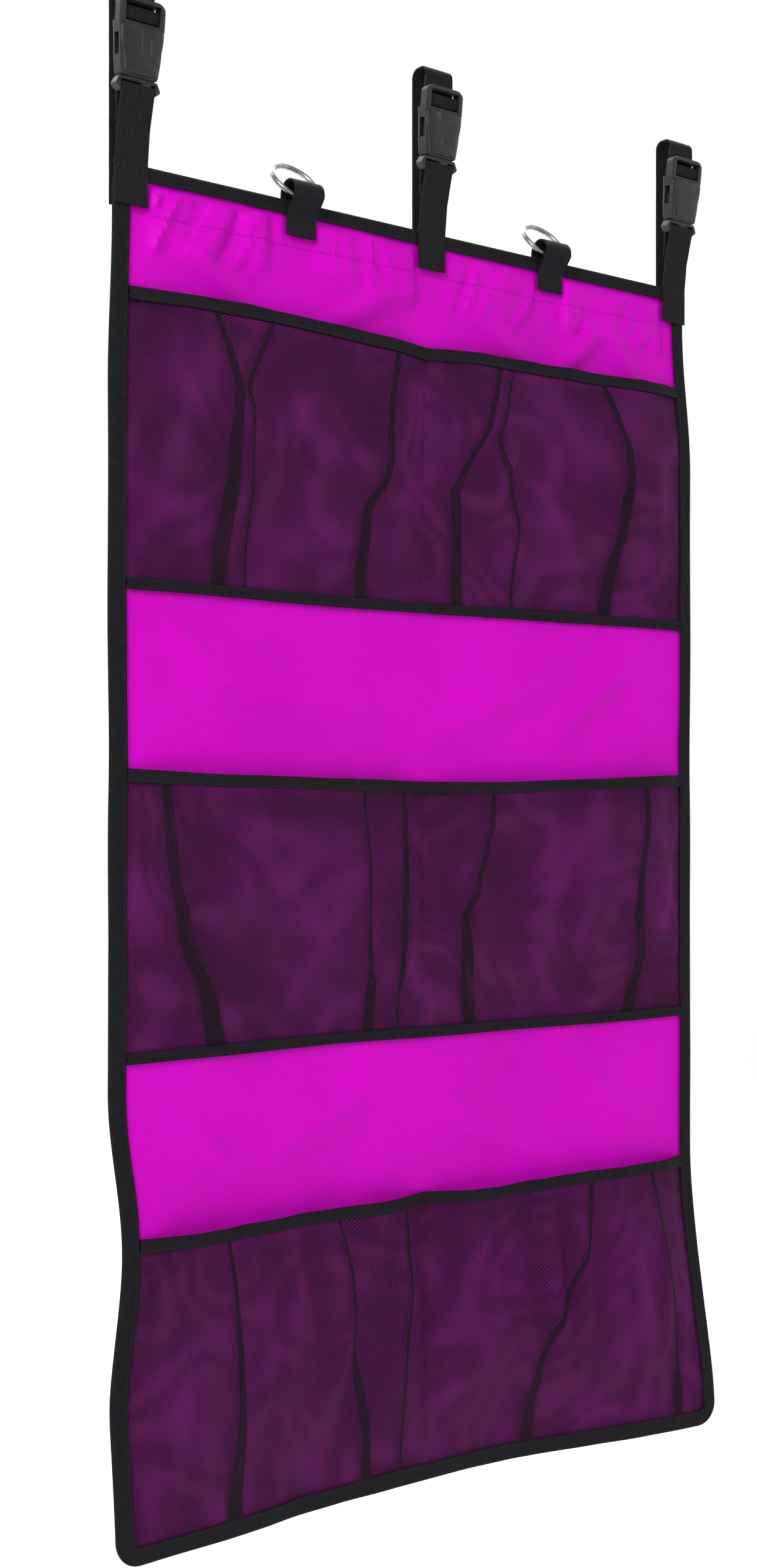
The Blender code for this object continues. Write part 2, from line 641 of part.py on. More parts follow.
def make_ring(side, centre_x):
    """Round wire ring, leaning back; its origin is on the line that it swings about."""
    made = bmesh.new()
    around, section = 40, 10
    loops = []
    for i in range(around):
        turn = 2 * math.pi * i / around
        loop = []
        for k in range(section):
            lap = 2 * math.pi * k / section
            out = RING_RADIUS + RING_WIRE / 2 * math.cos(lap)
            height = out * math.cos(turn) + RING_RADIUS - CHORD_DEPTH / 2
            loop.append(made.verts.new((out * math.sin(turn), RING_WIRE / 2 * math.sin(lap), height)))
        loops.append(loop)
    for i in range(around):
        after = loops[(i + 1) % around]
        for k in range(section):
            j = (k + 1) % section
            made.faces.new((loops[i][k], after[k], after[j], loops[i][j]))
    ring = add_part(f"ring_{side}", made, FINISH["nickel"], math.radians(60))
    ring.location = (centre_x, RING_AXIS_Y, RING_AXIS_Z)
    ring.rotation_euler = (-RING_LEAN, 0.0, 0.0)


# ---- the whole object ----------------------------------------------------------------------
clear_scene()
FINISH = {
    "panel_cloth": finish("panel_cloth", (0.60, 0.0, 0.51), 0.75),
    "batten_plastic": finish("batten_plastic", (0.80, 0.80, 0.78), 0.5),
    "binding": finish("binding", (0.014, 0.015, 0.016), 0.8),
    "mesh": finish("mesh", (0.020, 0.018, 0.022), 0.85),
    "webbing": finish("webbing", (0.016, 0.015, 0.018), 0.8),
    "dark_plastic": finish("dark_plastic", (0.045, 0.045, 0.050), 0.4),
    "nickel": finish("nickel", (0.55, 0.54, 0.52), 0.25, 1.0),
}
make_panel()
make_hem()
make_top_binding()
make_edge_binding()
for row_number, mouth_z, foot_z in pocket_rows():
    make_mesh_row(row_number, mouth_z, foot_z)
    make_mouth_binding(row_number, mouth_z, foot_z)
    if row_number < 3:
        make_foot_tape(row_number, foot_z)
for strap_side, strap_x in STRAPS:
    make_strap(strap_side, strap_x)
for ring_side, ring_x in KEEPERS:
    make_keeper(ring_side, ring_x)
    make_ring(ring_side, ring_x)
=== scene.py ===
"""Hanging mesh-pocket organiser: cloth, net, tape, webbing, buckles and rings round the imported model.

Lengths are in metres. +X is right seen from the pocket side, -Y is towards the viewer, +Z is up.
"""

import json
import math

import bmesh
import bpy
import numpy as np
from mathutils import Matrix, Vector, noise


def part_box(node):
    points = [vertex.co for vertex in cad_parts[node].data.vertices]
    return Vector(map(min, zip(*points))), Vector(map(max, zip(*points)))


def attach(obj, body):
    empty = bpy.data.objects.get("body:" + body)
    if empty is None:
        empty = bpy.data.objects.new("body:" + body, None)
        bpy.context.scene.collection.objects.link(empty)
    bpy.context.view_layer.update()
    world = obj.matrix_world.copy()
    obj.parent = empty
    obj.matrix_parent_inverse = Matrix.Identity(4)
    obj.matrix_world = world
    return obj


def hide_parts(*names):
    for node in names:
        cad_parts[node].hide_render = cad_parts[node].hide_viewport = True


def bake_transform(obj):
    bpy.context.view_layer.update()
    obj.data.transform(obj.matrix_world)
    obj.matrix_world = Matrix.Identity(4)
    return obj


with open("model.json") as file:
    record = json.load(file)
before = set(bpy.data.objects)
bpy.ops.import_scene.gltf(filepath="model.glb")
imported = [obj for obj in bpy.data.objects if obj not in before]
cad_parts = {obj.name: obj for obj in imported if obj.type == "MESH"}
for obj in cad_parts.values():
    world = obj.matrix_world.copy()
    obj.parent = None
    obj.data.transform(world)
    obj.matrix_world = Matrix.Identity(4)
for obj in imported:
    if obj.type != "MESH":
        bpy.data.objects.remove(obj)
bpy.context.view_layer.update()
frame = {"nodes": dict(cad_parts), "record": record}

# ---- places read from the frame ----
SIDES = ("left", "middle", "right")
TAPE_LOW, TAPE_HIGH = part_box("edge_binding")
EDGE_X = TAPE_HIGH[0]
BOTTOM_Z = TAPE_LOW[2]
TAPE_FRONT_Y, TAPE_BACK_Y = TAPE_LOW[1], TAPE_HIGH[1]
TOP_TAPE_LOW, TOP_TAPE_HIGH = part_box("top_binding")
TOP_Z = TOP_TAPE_HIGH[2]
TOP_TAPE_WIDTH = TOP_Z - TOP_TAPE_LOW[2]
PANEL_FRONT_Y, PANEL_BACK_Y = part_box("back_panel")[0][1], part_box("back_panel")[1][1]
PANEL_THICK = PANEL_BACK_Y - PANEL_FRONT_Y
HEM_DROP = TOP_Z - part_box("hem_facing")[0][2]
FACING_BACK_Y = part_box("hem_facing")[1][1]


def middle_x(node):
    low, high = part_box(node)
    return (low[0] + high[0]) / 2


STRAP_X = {side: middle_x(f"loop_strap_{side}") for side in SIDES}
RING_X = {side: middle_x(f"ring_{side}") for side in ("left", "right")}
ROW_MOUTH = {row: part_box(f"mouth_binding_{row}")[1][2] for row in (1, 2, 3)}
ROW_FOOT = {row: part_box(f"mesh_row_{row}")[0][2] for row in (1, 2, 3)}

# ---- sizes of the soft parts ----
GAP = 0.0003                # what touching layers keep between their faces
TAPE_THICK = 0.0008
EDGE_TAPE = 0.0125
MOUTH_TAPE = 0.0088
CORNER_RADIUS = 0.018
NET_Y = PANEL_FRONT_Y - GAP - 0.00025
NET_EDGE = EDGE_X - 0.0011
PLY_STEP = 0.0006           # between the plies of a folded pleat
WEBBING_WIDTH = 0.025
WEBBING_THICK = 0.0016
NET_PITCH = 0.0022          # from hole to hole
DIM_ROOM = 0.42             # light from in front, where the room behind is 1
STITCH_PITCH = 0.0032
STITCH_LENGTH = 0.0024
STITCH_THICK = 0.0005
TAPE_SEAM = 0.0018          # from a tape's edge to its row of stitches
HEM_SEAM = 0.0020           # from the facing's lower edge to the stitches


# ---- curves of falling cloth ----
def ease(value, start, end):
    """0 before start, 1 past end, smooth between."""
    share = np.clip((np.asarray(value, float) - start) / (end - start), 0.0, 1.0)
    return share * share * (3 - 2 * share)


def hill(value, middle, reach):
    """1 at the middle, 0 past the reach on both sides."""
    return 1 - ease(np.abs(np.asarray(value, float) - middle), 0.0, reach)


def rumple(x, z, per_x, per_z, seed):
    """Smooth uneven values about 0, with per_x and per_z swells to a metre."""
    x, z = np.broadcast_arrays(np.asarray(x, float), np.asarray(z, float))
    values = [noise.noise((a * per_x + seed * 7.3, b * per_z - seed * 3.1, seed * 1.7))
              for a, b in zip(x.ravel(), z.ravel())]
    return np.array(values).reshape(x.shape)


# A soft crease: middle (x, drop), length, turn from upright in degrees, half width, height.
CREASES = (
    (.15, .066, .09, -48, .008, .0024), (.196, .064, .08, 38, .007, .002),
    (.07, .068, .1, 64, .008, .0016), (-.06, .064, .11, -62, .009, .0018),
    (-.19, .062, .1, 58, .008, .0022), (.06, .345, .26, -68, .016, .0032),
    (.17, .33, .16, -52, .011, .0022), (-.12, .34, .2, 76, .017, .0024),
    (-.2, .32, .12, 40, .011, .0016), (.05, .655, .24, 62, .012, .0026),
    (.17, .64, .15, 55, .01, .0024), (-.09, .64, .22, -66, .014, .0022),
    (-.19, .65, .12, 48, .009, .0018),
)


def fold_height(folds, x, drop):
    """Height of soft folds, each a ridge that fades out towards its ends."""
    total = np.zeros(np.broadcast(x, drop).shape)
    for middle, depth, length, turn, width, height in folds:
        sine, cosine = math.sin(math.radians(turn)), math.cos(math.radians(turn))
        along = (x - middle) * sine + (drop - depth) * cosine
        aside = (x - middle) * cosine - (drop - depth) * sine
        total += height * np.exp(-(aside / width) ** 2) * hill(along, 0.0, length / 2)
    return total


def clear_of_webbing(x):
    """0 behind the straps and ring keepers, 1 away from them."""
    free = np.ones(np.shape(x))
    for place in (*STRAP_X.values(), *RING_X.values()):
        free = free * ease(np.abs(x - place), WEBBING_WIDTH / 2, WEBBING_WIDTH / 2 + 0.006)
    return free


def hang(x, z):
    """How the cloth has moved from flat at (x, z) as it hangs: (across, back, up)."""
    x, z = np.broadcast_arrays(np.asarray(x, float), np.asarray(z, float))
    across = x / EDGE_X
    drop = TOP_Z - z
    right, left = np.clip(across, 0, 1), np.clip(-across, 0, 1)
    loose = ease(drop, 0.030, 0.150)
    # The middle hangs back; the right side, and both lower corners, come forward.
    back = 0.008 * loose * (1 - across ** 2) ** 2 * (1 - 0.5 * ease(drop, 0.70, 0.92))
    back -= 0.006 * loose * ease(right, 0.35, 1.0)
    back -= 0.027 * ease(drop, 0.70, 0.915) * ease(right, 0.10, 1.0)
    back -= 0.010 * ease(drop, 0.80, 0.915) * ease(left, 0.30, 1.0)
    kink = hill(drop, 0.716, 0.110) * ease(left, 0.60, 1.0)
    back -= 0.009 * kink
    # The hem's stitches gather the cloth above and below them.
    slanted = x + (drop - HEM_DROP) * (0.25 + 0.9 * rumple(x, 0.0, 13, 0, 9))
    gather = np.clip(1 - 2.2 * np.abs(rumple(slanted, drop, 54, 5, 3)), 0, 1)
    gather = gather + 0.7 * np.clip(1 - 3.0 * np.abs(rumple(slanted, drop, 71, 9, 4)), 0, 1)
    gather = gather * (0.75 + 0.4 * ease(rumple(x, 0.0, 21, 0, 5), -0.30, 0.25))
    spread = np.minimum(1.0, 1.7 * hill(drop, HEM_DROP - 0.001, 0.036))
    gather *= spread * clear_of_webbing(x) * ease(drop, 0.0105, 0.017)
    back -= 0.0032 * gather
    back += 0.0007 * hill(drop, HEM_DROP - HEM_SEAM, 0.0045) * clear_of_webbing(x)
    inside = 1 - np.abs(across)
    back -= 2.5 * fold_height(CREASES, x, drop) * ease(drop, 0.034, 0.055) * ease(inside, 0.02, 0.14)
    back -= 0.0026 * loose * rumple(x, drop, 10, 8, 11) * ease(inside, 0.0, 0.2)
    back -= 0.0010 * loose * rumple(x + 0.6 * drop, drop, 34, 12, 13) * ease(inside, 0.0, 0.2)
    side = 0.0030 * across * loose + 0.0055 * kink
    side += 0.0011 * across ** 3 * rumple(0.0, drop, 0, 11, 17) * loose
    up = -0.0012 * loose * rumple(x, drop, 6, 3, 23)
    return side, back, up


def hung(points):
    """Flat points (n, 3) moved to where the hanging cloth has them."""
    points = np.asarray(points, float)
    flat = points.reshape(-1, 3)
    side, back, up = hang(flat[:, 0], flat[:, 2])
    return (flat + np.stack([side, back, up], axis=1)).reshape(points.shape)


def within_corner(x, z, inset):
    """x drawn in where the panel's lower corners are round."""
    radius = CORNER_RADIUS - inset
    drop = BOTTOM_Z + CORNER_RADIUS - z
    start = EDGE_X - CORNER_RADIUS
    reach = np.sqrt(np.clip(radius ** 2 - drop ** 2, 0, None))
    share = (np.abs(x) - start) / radius
    tucked = np.copysign(start + share * reach, x)
    return np.where((drop > 0) & (np.abs(x) > start), tucked, x)


# ---- mesh building ----
def grid_piece(name, points, flat, wrap=False, caps=False):
    """A mesh from rows and columns of points, with flat (u, v) places in metres as its UV map."""
    points, flat = np.asarray(points, float), np.asarray(flat, float)
    rows, columns = points.shape[:2]
    index = np.arange(rows * columns).reshape(rows, columns)
    following = np.roll(index, -1, axis=1) if wrap else index[:, 1:]
    here = index if wrap else index[:, :-1]
    quads = np.stack([here[:-1], following[:-1], following[1:], here[1:]], axis=-1).reshape(-1, 4)
    faces = quads.tolist()
    if caps:
        faces += [index[0][::-1].tolist(), index[-1].tolist()]
    made = bpy.data.meshes.new(name)
    made.from_pydata(points.reshape(-1, 3).tolist(), [], faces)
    loops = np.zeros(len(made.loops), np.int32)
    made.loops.foreach_get("vertex_index", loops)
    spread = flat.reshape(-1, 2)[loops]
    if wrap:
        # The faces that close the ring run on to the full distance round, not back to 0.
        corner = np.arange(len(quads) * 4) % 4
        column = np.repeat(np.tile(np.arange(columns), rows - 1), 4)
        far = np.flatnonzero((column == columns - 1) & ((corner == 1) | (corner == 2)))
        spread[far, 1] = flat[0, -1, 1] + (flat[0, -1, 1] - flat[0, -2, 1])
    uv = made.uv_layers.new(name="cloth")
    uv.data.foreach_set("uv", spread.astype(np.float32).ravel())
    made.update()
    piece = bpy.data.objects.new(name, made)
    bpy.context.scene.collection.objects.link(piece)
    return piece


def outward(piece):
    """Join doubled points and turn every face outwards."""
    work = bmesh.new()
    work.from_mesh(piece.data)
    bmesh.ops.remove_doubles(work, verts=work.verts, dist=1e-6)
    bmesh.ops.recalc_face_normals(work, faces=work.faces)
    work.to_mesh(piece.data)
    work.free()
    return piece


def smooth(piece, angle=40.0):
    piece.data.polygons.foreach_set("use_smooth", [True] * len(piece.data.polygons))
    piece.data.set_sharp_from_angle(angle=math.radians(angle))
    return piece


def thicken(piece, wall):
    """Give a sheet its thickness, half to each side."""
    solid = piece.modifiers.new("Wall", "SOLIDIFY")
    solid.thickness = wall
    solid.offset = 0.0
    shown = piece.evaluated_get(bpy.context.evaluated_depsgraph_get())
    piece.data = bpy.data.meshes.new_from_object(shown)
    piece.modifiers.clear()
    return piece


def lengths(points):
    """Distance along each row of points, from its first."""
    steps = np.linalg.norm(np.diff(points, axis=-2), axis=-1)
    return np.concatenate([np.zeros((*steps.shape[:-1], 1)), np.cumsum(steps, axis=-1)], axis=-1)


def dress(piece, body, material, slot, *nodes):
    """Give a finished piece its material, its body and the nodes it stands for. The slot is not used."""
    piece.data.materials.clear()
    piece.data.materials.append(material)
    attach(piece, body)
    if nodes:
        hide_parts(*nodes)
    return piece


# ---- shader wiring ----
class Wire:
    """A shader value. Sums, products and the like add Math nodes."""

    def __init__(self, tree, socket):
        self.tree = tree
        self.socket = socket

    def node(self, kind, settings=None, values=None, output=0):
        """Add a node: its settings first, then its sockets' values or links."""
        made = self.tree.nodes.new(kind)
        for key, value in (settings or {}).items():
            setattr(made, key, value)
        for key, value in (values or {}).items():
            if isinstance(value, Wire):
                self.tree.links.new(value.socket, made.inputs[key])
            else:
                made.inputs[key].default_value = value
        return Wire(self.tree, made.outputs[output])

    def math(self, operation, first, second=0.0):
        return self.node("ShaderNodeMath", {"operation": operation}, {0: first, 1: second})

    def __add__(self, other):
        return self.math("ADD", self, other)

    def __sub__(self, other):
        return self.math("SUBTRACT", self, other)

    def __mul__(self, other):
        return self.math("MULTIPLY", self, other)

    def __truediv__(self, other):
        return self.math("DIVIDE", self, other)

    def __radd__(self, other):
        return self.math("ADD", other, self)

    def __rsub__(self, other):
        return self.math("SUBTRACT", other, self)

    def __rmul__(self, other):
        return self.math("MULTIPLY", other, self)

    def __rtruediv__(self, other):
        return self.math("DIVIDE", other, self)

    def wave(self, pitch):
        """0 to 1 and back once in each pitch."""
        return self.math("SINE", self * (2 * math.pi / pitch)) * 0.5 + 0.5

    def above(self, edge, softness):
        """0 below the edge, 1 above it."""
        return self.node("ShaderNodeMapRange", {"interpolation_type": "SMOOTHSTEP"},
                         {0: self, 1: edge - softness, 2: edge + softness, 3: 0.0, 4: 1.0})


def colour(red, green, blue):
    """A linear colour from one as it is seen, 0 to 255."""
    linear = [((c / 255 + 0.055) / 1.055) ** 2.4 if c > 10 else c / 3294 for c in (red, green, blue)]
    return (*linear, 1.0)


def start_finish(name, **constant):
    """A material, its shader, and a wire to build on."""
    made = bpy.data.materials.new(name)
    made.use_nodes = True
    shader = made.node_tree.nodes["Principled BSDF"]
    for key, value in constant.items():
        shader.inputs[key.replace("_", " ")].default_value = value
    return made, shader, Wire(made.node_tree, None)


def cloth_place(wire):
    """A piece's UV place, whole and as its two distances in metres."""
    whole = wire.node("ShaderNodeTexCoord", output="UV")
    first = wire.node("ShaderNodeSeparateXYZ", values={0: whole})
    return whole, first, Wire(wire.tree, first.socket.node.outputs[1])


def solid_place(wire):
    return wire.node("ShaderNodeTexCoord", output="Object")


def uneven(wire, place, scale, detail=3.0, stretch=(1, 1, 1)):
    """Noise about 0.5."""
    mapped = wire.node("ShaderNodeMapping", values={0: place, 3: stretch})
    return wire.node("ShaderNodeTexNoise", values={"Vector": mapped, "Scale": scale, "Detail": detail})


def blend_colours(wire, share, first, second):
    return wire.node("ShaderNodeMix", {"data_type": "RGBA"}, {0: share, 6: first, 7: second}, output=2)


def connect(shader, name, value):
    value.tree.links.new(value.socket, shader.inputs[name])


def settle(made, shader, base, roughness, relief, depth, strength):
    """Give a material its colour, its roughness and its relief."""
    connect(shader, "Base Color", base)
    connect(shader, "Roughness", roughness)
    values = {"Strength": strength, "Distance": depth, "Height": relief}
    connect(shader, "Normal", relief.node("ShaderNodeBump", values=values))
    return made


# ---- finishes ----
def panel_cloth():
    """Bright coated polyester with a fine plain weave and a soft sheen."""
    made, shader, wire = start_finish("panel_cloth_magenta", Specular_IOR_Level=0.07)
    place, u, v = cloth_place(wire)
    yarn = 0.00055
    over = u.wave(yarn) * v.wave(yarn)
    under = (1 - u.wave(yarn)) * (1 - v.wave(yarn))
    weave = over + under
    cloudy = uneven(wire, place, 9.0)
    slub = uneven(wire, place, 60.0, 2.0, (1, 9, 1))
    worn = uneven(wire, place, 320.0, 2.0)
    tone = (cloudy * 0.6 + slub * 0.25 + worn * 0.15).above(0.5, 0.22)
    base = blend_colours(wire, tone, colour(188, 0, 172), colour(208, 0, 194))
    base = blend_colours(wire, weave * 0.20, base, colour(218, 6, 204))
    return settle(made, shader, base, 0.44 + cloudy * 0.16 + weave * 0.06,
                  weave * 0.7 + slub * 0.5, 0.00012, 0.55)


def net_cloth():
    """Knitted black net: diamond holes between soft strands, with a painted highlight on its folds and
    swirl bands.
    """
    made, shader, wire = start_finish("net_black", Specular_IOR_Level=0.10)
    place, u, v = cloth_place(wire)
    sway = uneven(wire, place, 14.0, 2.0)
    first = (u + v + sway * 0.002).wave(NET_PITCH)
    second = (u - v + sway * 0.002).wave(NET_PITCH)
    # Fold value per point: it opens the holes and drives the painted highlight.
    ridge = wire.node("ShaderNodeAttribute", {"attribute_name": "fold_openness_and_painted_highlight"}, output="Fac")
    # Swirl bands: they open and close the holes and add to the painted highlight.
    rings = uneven(wire, place, 7.5, 1.5).wave(0.085)
    patchy = uneven(wire, place, 22.0, 2.0)
    tight = 0.46 - ridge * 0.24 - rings * 0.06 + (patchy - 0.5) * 0.30
    hole = (first * second - tight).above(0.0, 0.10)
    strand = 1 - hole * 0.94
    fibre = uneven(wire, place, 2600.0, 2.0, (1, 4, 1))
    base = blend_colours(wire, fibre, colour(22, 9, 22), colour(41, 20, 41))
    # Painted highlight: folds and swirl bands are painted towards a lighter purple.
    painted_highlight = (ridge * 0.8 + rings * 0.2 - 0.35).above(0.25, 0.3) * 0.42
    base = blend_colours(wire, painted_highlight, base, colour(90, 44, 88))
    connect(shader, "Alpha", strand)
    return settle(made, shader, base, 0.55 + fibre * 0.3, strand + fibre * 0.2, 0.0002, 0.7)


def ribbed_tape():
    """Dark grosgrain tape: fine ribs across it, dusty in patches."""
    made, shader, wire = start_finish("tape_black", Specular_IOR_Level=0.12)
    place, u, v = cloth_place(wire)
    rib = u.wave(0.00085)
    grain = v.wave(0.00042)
    dust = uneven(wire, place, 190.0, 4.0)
    base = blend_colours(wire, dust.above(0.55, 0.2), colour(15, 14, 17), colour(25, 24, 28))
    base = blend_colours(wire, rib * 0.35, base, colour(34, 33, 38))
    return settle(made, shader, base, 0.62 + dust * 0.25,
                  rib * 0.8 + grain * 0.3 + dust * 0.3, 0.00022, 0.8)


def webbing():
    """Woven polypropylene webbing: staggered yarns in lengthwise cords."""
    made, shader, wire = start_finish("webbing_black", Specular_IOR_Level=0.14)
    place, u, v = cloth_place(wire)
    cord_pitch, yarn_pitch = 0.00165, 0.0022
    cord = v.wave(cord_pitch)
    number = v.math("ROUND", v / cord_pitch)
    stagger = (u + number * (yarn_pitch / 2)).wave(yarn_pitch)
    weave = cord * (0.45 + stagger * 0.55)
    fluff = uneven(wire, place, 420.0, 4.0)
    base = blend_colours(wire, weave, colour(11, 10, 13), colour(34, 32, 38))
    base = blend_colours(wire, fluff.above(0.66, 0.12) * 0.4, base, colour(58, 56, 63))
    return settle(made, shader, base, 0.5 + fluff * 0.35, weave + fluff * 0.25, 0.00035, 0.9)


def moulded_plastic():
    """Satin dark grey acetal with a fine spark grain, rubbed lighter in patches."""
    made, shader, wire = start_finish("buckle_plastic", Specular_IOR_Level=0.45)
    place = solid_place(wire)
    grain = uneven(wire, place, 2600.0, 3.0)
    rubbed = uneven(wire, place, 120.0, 4.0)
    scratch = uneven(wire, place, 420.0, 2.0, (1, 1, 0.12))
    base = blend_colours(wire, rubbed.above(0.55, 0.2) * 0.7, colour(22, 23, 26), colour(37, 38, 42))
    base = blend_colours(wire, scratch.above(0.70, 0.05) * 0.35, base, colour(96, 98, 104))
    return settle(made, shader, base, 0.34 + rubbed * 0.16 + grain * 0.08,
                  grain + scratch * 0.3, 0.00006, 0.5)


def plated_steel():
    """Bright nickel plate with faint drawing marks and dull patches."""
    made, shader, wire = start_finish("ring_nickel", Metallic=1.0)
    place = cloth_place(wire)[0]
    drawn = uneven(wire, place, 700.0, 3.0, (0.08, 3, 1))
    dull = uneven(wire, place, 130.0, 4.0)
    base = blend_colours(wire, dull.above(0.56, 0.14), colour(176, 175, 171), colour(136, 133, 127))
    return settle(made, shader, base, 0.16 + drawn * 0.12 + dull * 0.14,
                  drawn + dull * 0.4, 0.00004, 0.6)


def spun_thread(name, dark, light):
    """Two-ply sewing thread."""
    made, shader, wire = start_finish(name, Specular_IOR_Level=0.3)
    place = solid_place(wire)
    ply = uneven(wire, place, 2400.0, 2.0, (1, 1, 0.35))
    base = blend_colours(wire, ply, dark, light)
    return settle(made, shader, base, 0.5 + ply * 0.3, ply, 0.0001, 0.6)


def milky_plastic():
    """The stiffener strip in the hem."""
    made, shader, wire = start_finish("stiffener_white")
    place = solid_place(wire)
    cloud = uneven(wire, place, 90.0, 3.0)
    base = blend_colours(wire, cloud, colour(205, 205, 200), colour(228, 228, 224))
    return settle(made, shader, base, 0.4 + cloud * 0.2, cloud, 0.0001, 0.4)


MAGENTA = panel_cloth()
NET = net_cloth()
TAPE = ribbed_tape()
WEBBING = webbing()
PLASTIC = moulded_plastic()
NICKEL = plated_steel()
BLACK_THREAD = spun_thread("thread_black", colour(20, 19, 22), colour(44, 43, 48))
# The hem thread is darker than the real thread: painted shade along the hem's stitch line.
HEM_THREAD_PAINTED_SHADE = spun_thread("thread_magenta_painted_shade", colour(92, 0, 86), colour(142, 0, 132))
STIFFENER = milky_plastic()


# ---- panel ----
def make_panel():
    low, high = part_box("back_panel")
    fine = TOP_Z - 0.075
    heights = np.concatenate([np.linspace(low[2], fine, 216)[:-1], np.linspace(fine, high[2], 60)])
    widths = np.linspace(low[0], high[0], 160)
    x, z = np.meshgrid(widths, heights)
    x = x * (1 - 0.007 * ease(z, TAPE_HIGH[2] - 0.003, TAPE_HIGH[2]))
    y = np.full(x.shape, (PANEL_FRONT_Y + PANEL_BACK_Y) / 2)
    flat = np.stack([x, z], axis=-1)
    points = hung(np.stack([within_corner(x, z, EDGE_X - high[0]), y, z], axis=-1))
    piece = smooth(thicken(grid_piece("panel_sheet", points, flat), PANEL_THICK))
    dress(piece, "root", MAGENTA, "panel_cloth", "back_panel")


def make_hem_facing():
    """The turned-down hem on the back, which holds the stiffener."""
    low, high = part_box("hem_facing")
    heights = np.linspace(low[2], high[2], 14)
    x, z = np.meshgrid(np.linspace(low[0], high[0], 150), heights)
    y = np.full(x.shape, (high[1] + low[1]) / 2)
    points = hung(np.stack([x, y, z], axis=-1))
    points[..., 1] = np.maximum(points[..., 1], y - 0.0002)
    piece = smooth(thicken(grid_piece("hem_facing_sheet", points, np.stack([x, z], axis=-1)), 0.0006))
    dress(piece, "root", MAGENTA, "panel_cloth", "hem_facing")


# ---- tape bindings ----
def folded_section(width, front, back, wall, bow=0.0):
    """A closed (inward, y) outline of tape folded round an edge, as a ring of points."""
    middle, half = (front + back) / 2, (back - front) / 2
    steps = np.linspace(1.0, 0.3, 6)
    outer = [(width * s, front - bow * math.sin(math.pi * s)) for s in steps]
    nose = [(half * (1 - math.sin(a)), middle - half * math.cos(a))
            for a in np.linspace(0.15, math.pi - 0.15, 7)]
    outer += nose + [(width * s, back) for s in steps[::-1]]
    inner = [(width * s, back - wall) for s in steps]
    inner += [(wall + (half - wall) * (1 - math.sin(a)), middle + (half - wall) * math.cos(a))
              for a in np.linspace(0.15, math.pi - 0.15, 5)]
    inner += [(width * s, front - bow * math.sin(math.pi * s) + wall) for s in steps[::-1]]
    return outer + inner


def panel_outline(spacing=0.004):
    """Stations (x, z, inward x, inward z) down the left, round the foot and up the right."""
    top = TAPE_HIGH[2]
    turn_z = BOTTOM_Z + CORNER_RADIUS
    turn_x = EDGE_X - CORNER_RADIUS

    def corner(centre_x, start):
        return [(x + centre_x, z + turn_z, -x / CORNER_RADIUS, -z / CORNER_RADIUS)
                for x, z in arc((0, 0), CORNER_RADIUS, start, start + 90, 13)]

    stations = [(-EDGE_X, z, 1, 0) for z in np.arange(top, turn_z, -spacing)]
    stations += corner(-turn_x, 180)
    stations += [(x, BOTTOM_Z, 0, 1) for x in np.arange(-turn_x + spacing, turn_x, spacing)]
    stations += corner(turn_x, 270)
    stations += [(EDGE_X, z, -1, 0) for z in np.arange(turn_z + spacing, top, spacing)]
    stations.append((EDGE_X, top, -1, 0))
    return np.array(stations)


def tape_along(name, stations, sections):
    """Carry a section along flat stations; the result hangs with the cloth."""
    sections = np.asarray(sections, float)
    inward, y = sections[..., 0], sections[..., 1]
    x = stations[:, 0:1] + stations[:, 2:3] * inward
    z = stations[:, 1:2] + stations[:, 3:4] * inward
    along = lengths(stations[:, :2])[:, None] * np.ones(inward.shape)
    across = lengths(sections[0])[None, :] * np.ones(inward.shape)
    points = hung(np.stack([x, y, z], axis=-1))
    piece = grid_piece(name, points, np.stack([along, across], axis=-1), wrap=True, caps=True)
    return smooth(outward(piece), 50)


def make_edge_tape():
    stations = panel_outline()
    along = lengths(stations[:, :2])
    wander = rumple(along, 0.0, 24, 0, 31) * 0.0007
    sections = [folded_section(EDGE_TAPE + w, TAPE_FRONT_Y, TAPE_BACK_Y, TAPE_THICK, 0.0002)
                for w in wander]
    return dress(tape_along("edge_tape", stations, sections), "root", TAPE, "binding", "edge_binding")


def make_top_tape():
    end, front, back = TOP_TAPE_HIGH[0], TOP_TAPE_LOW[1], TOP_TAPE_HIGH[1]
    along = np.arange(TOP_TAPE_LOW[0], end + 0.001, 0.003)
    along = np.append(along[along < end - 0.001], end)
    stations = np.array([(x, TOP_Z, 0, -1) for x in along])
    wander = rumple(along, 0.0, 20, 0, 37) * 0.0005
    sections = [folded_section(TOP_TAPE_WIDTH + w, front, back, TAPE_THICK, 0.0002) for w in wander]
    return dress(tape_along("top_tape", stations, sections), "root", TAPE, "binding", "top_binding")


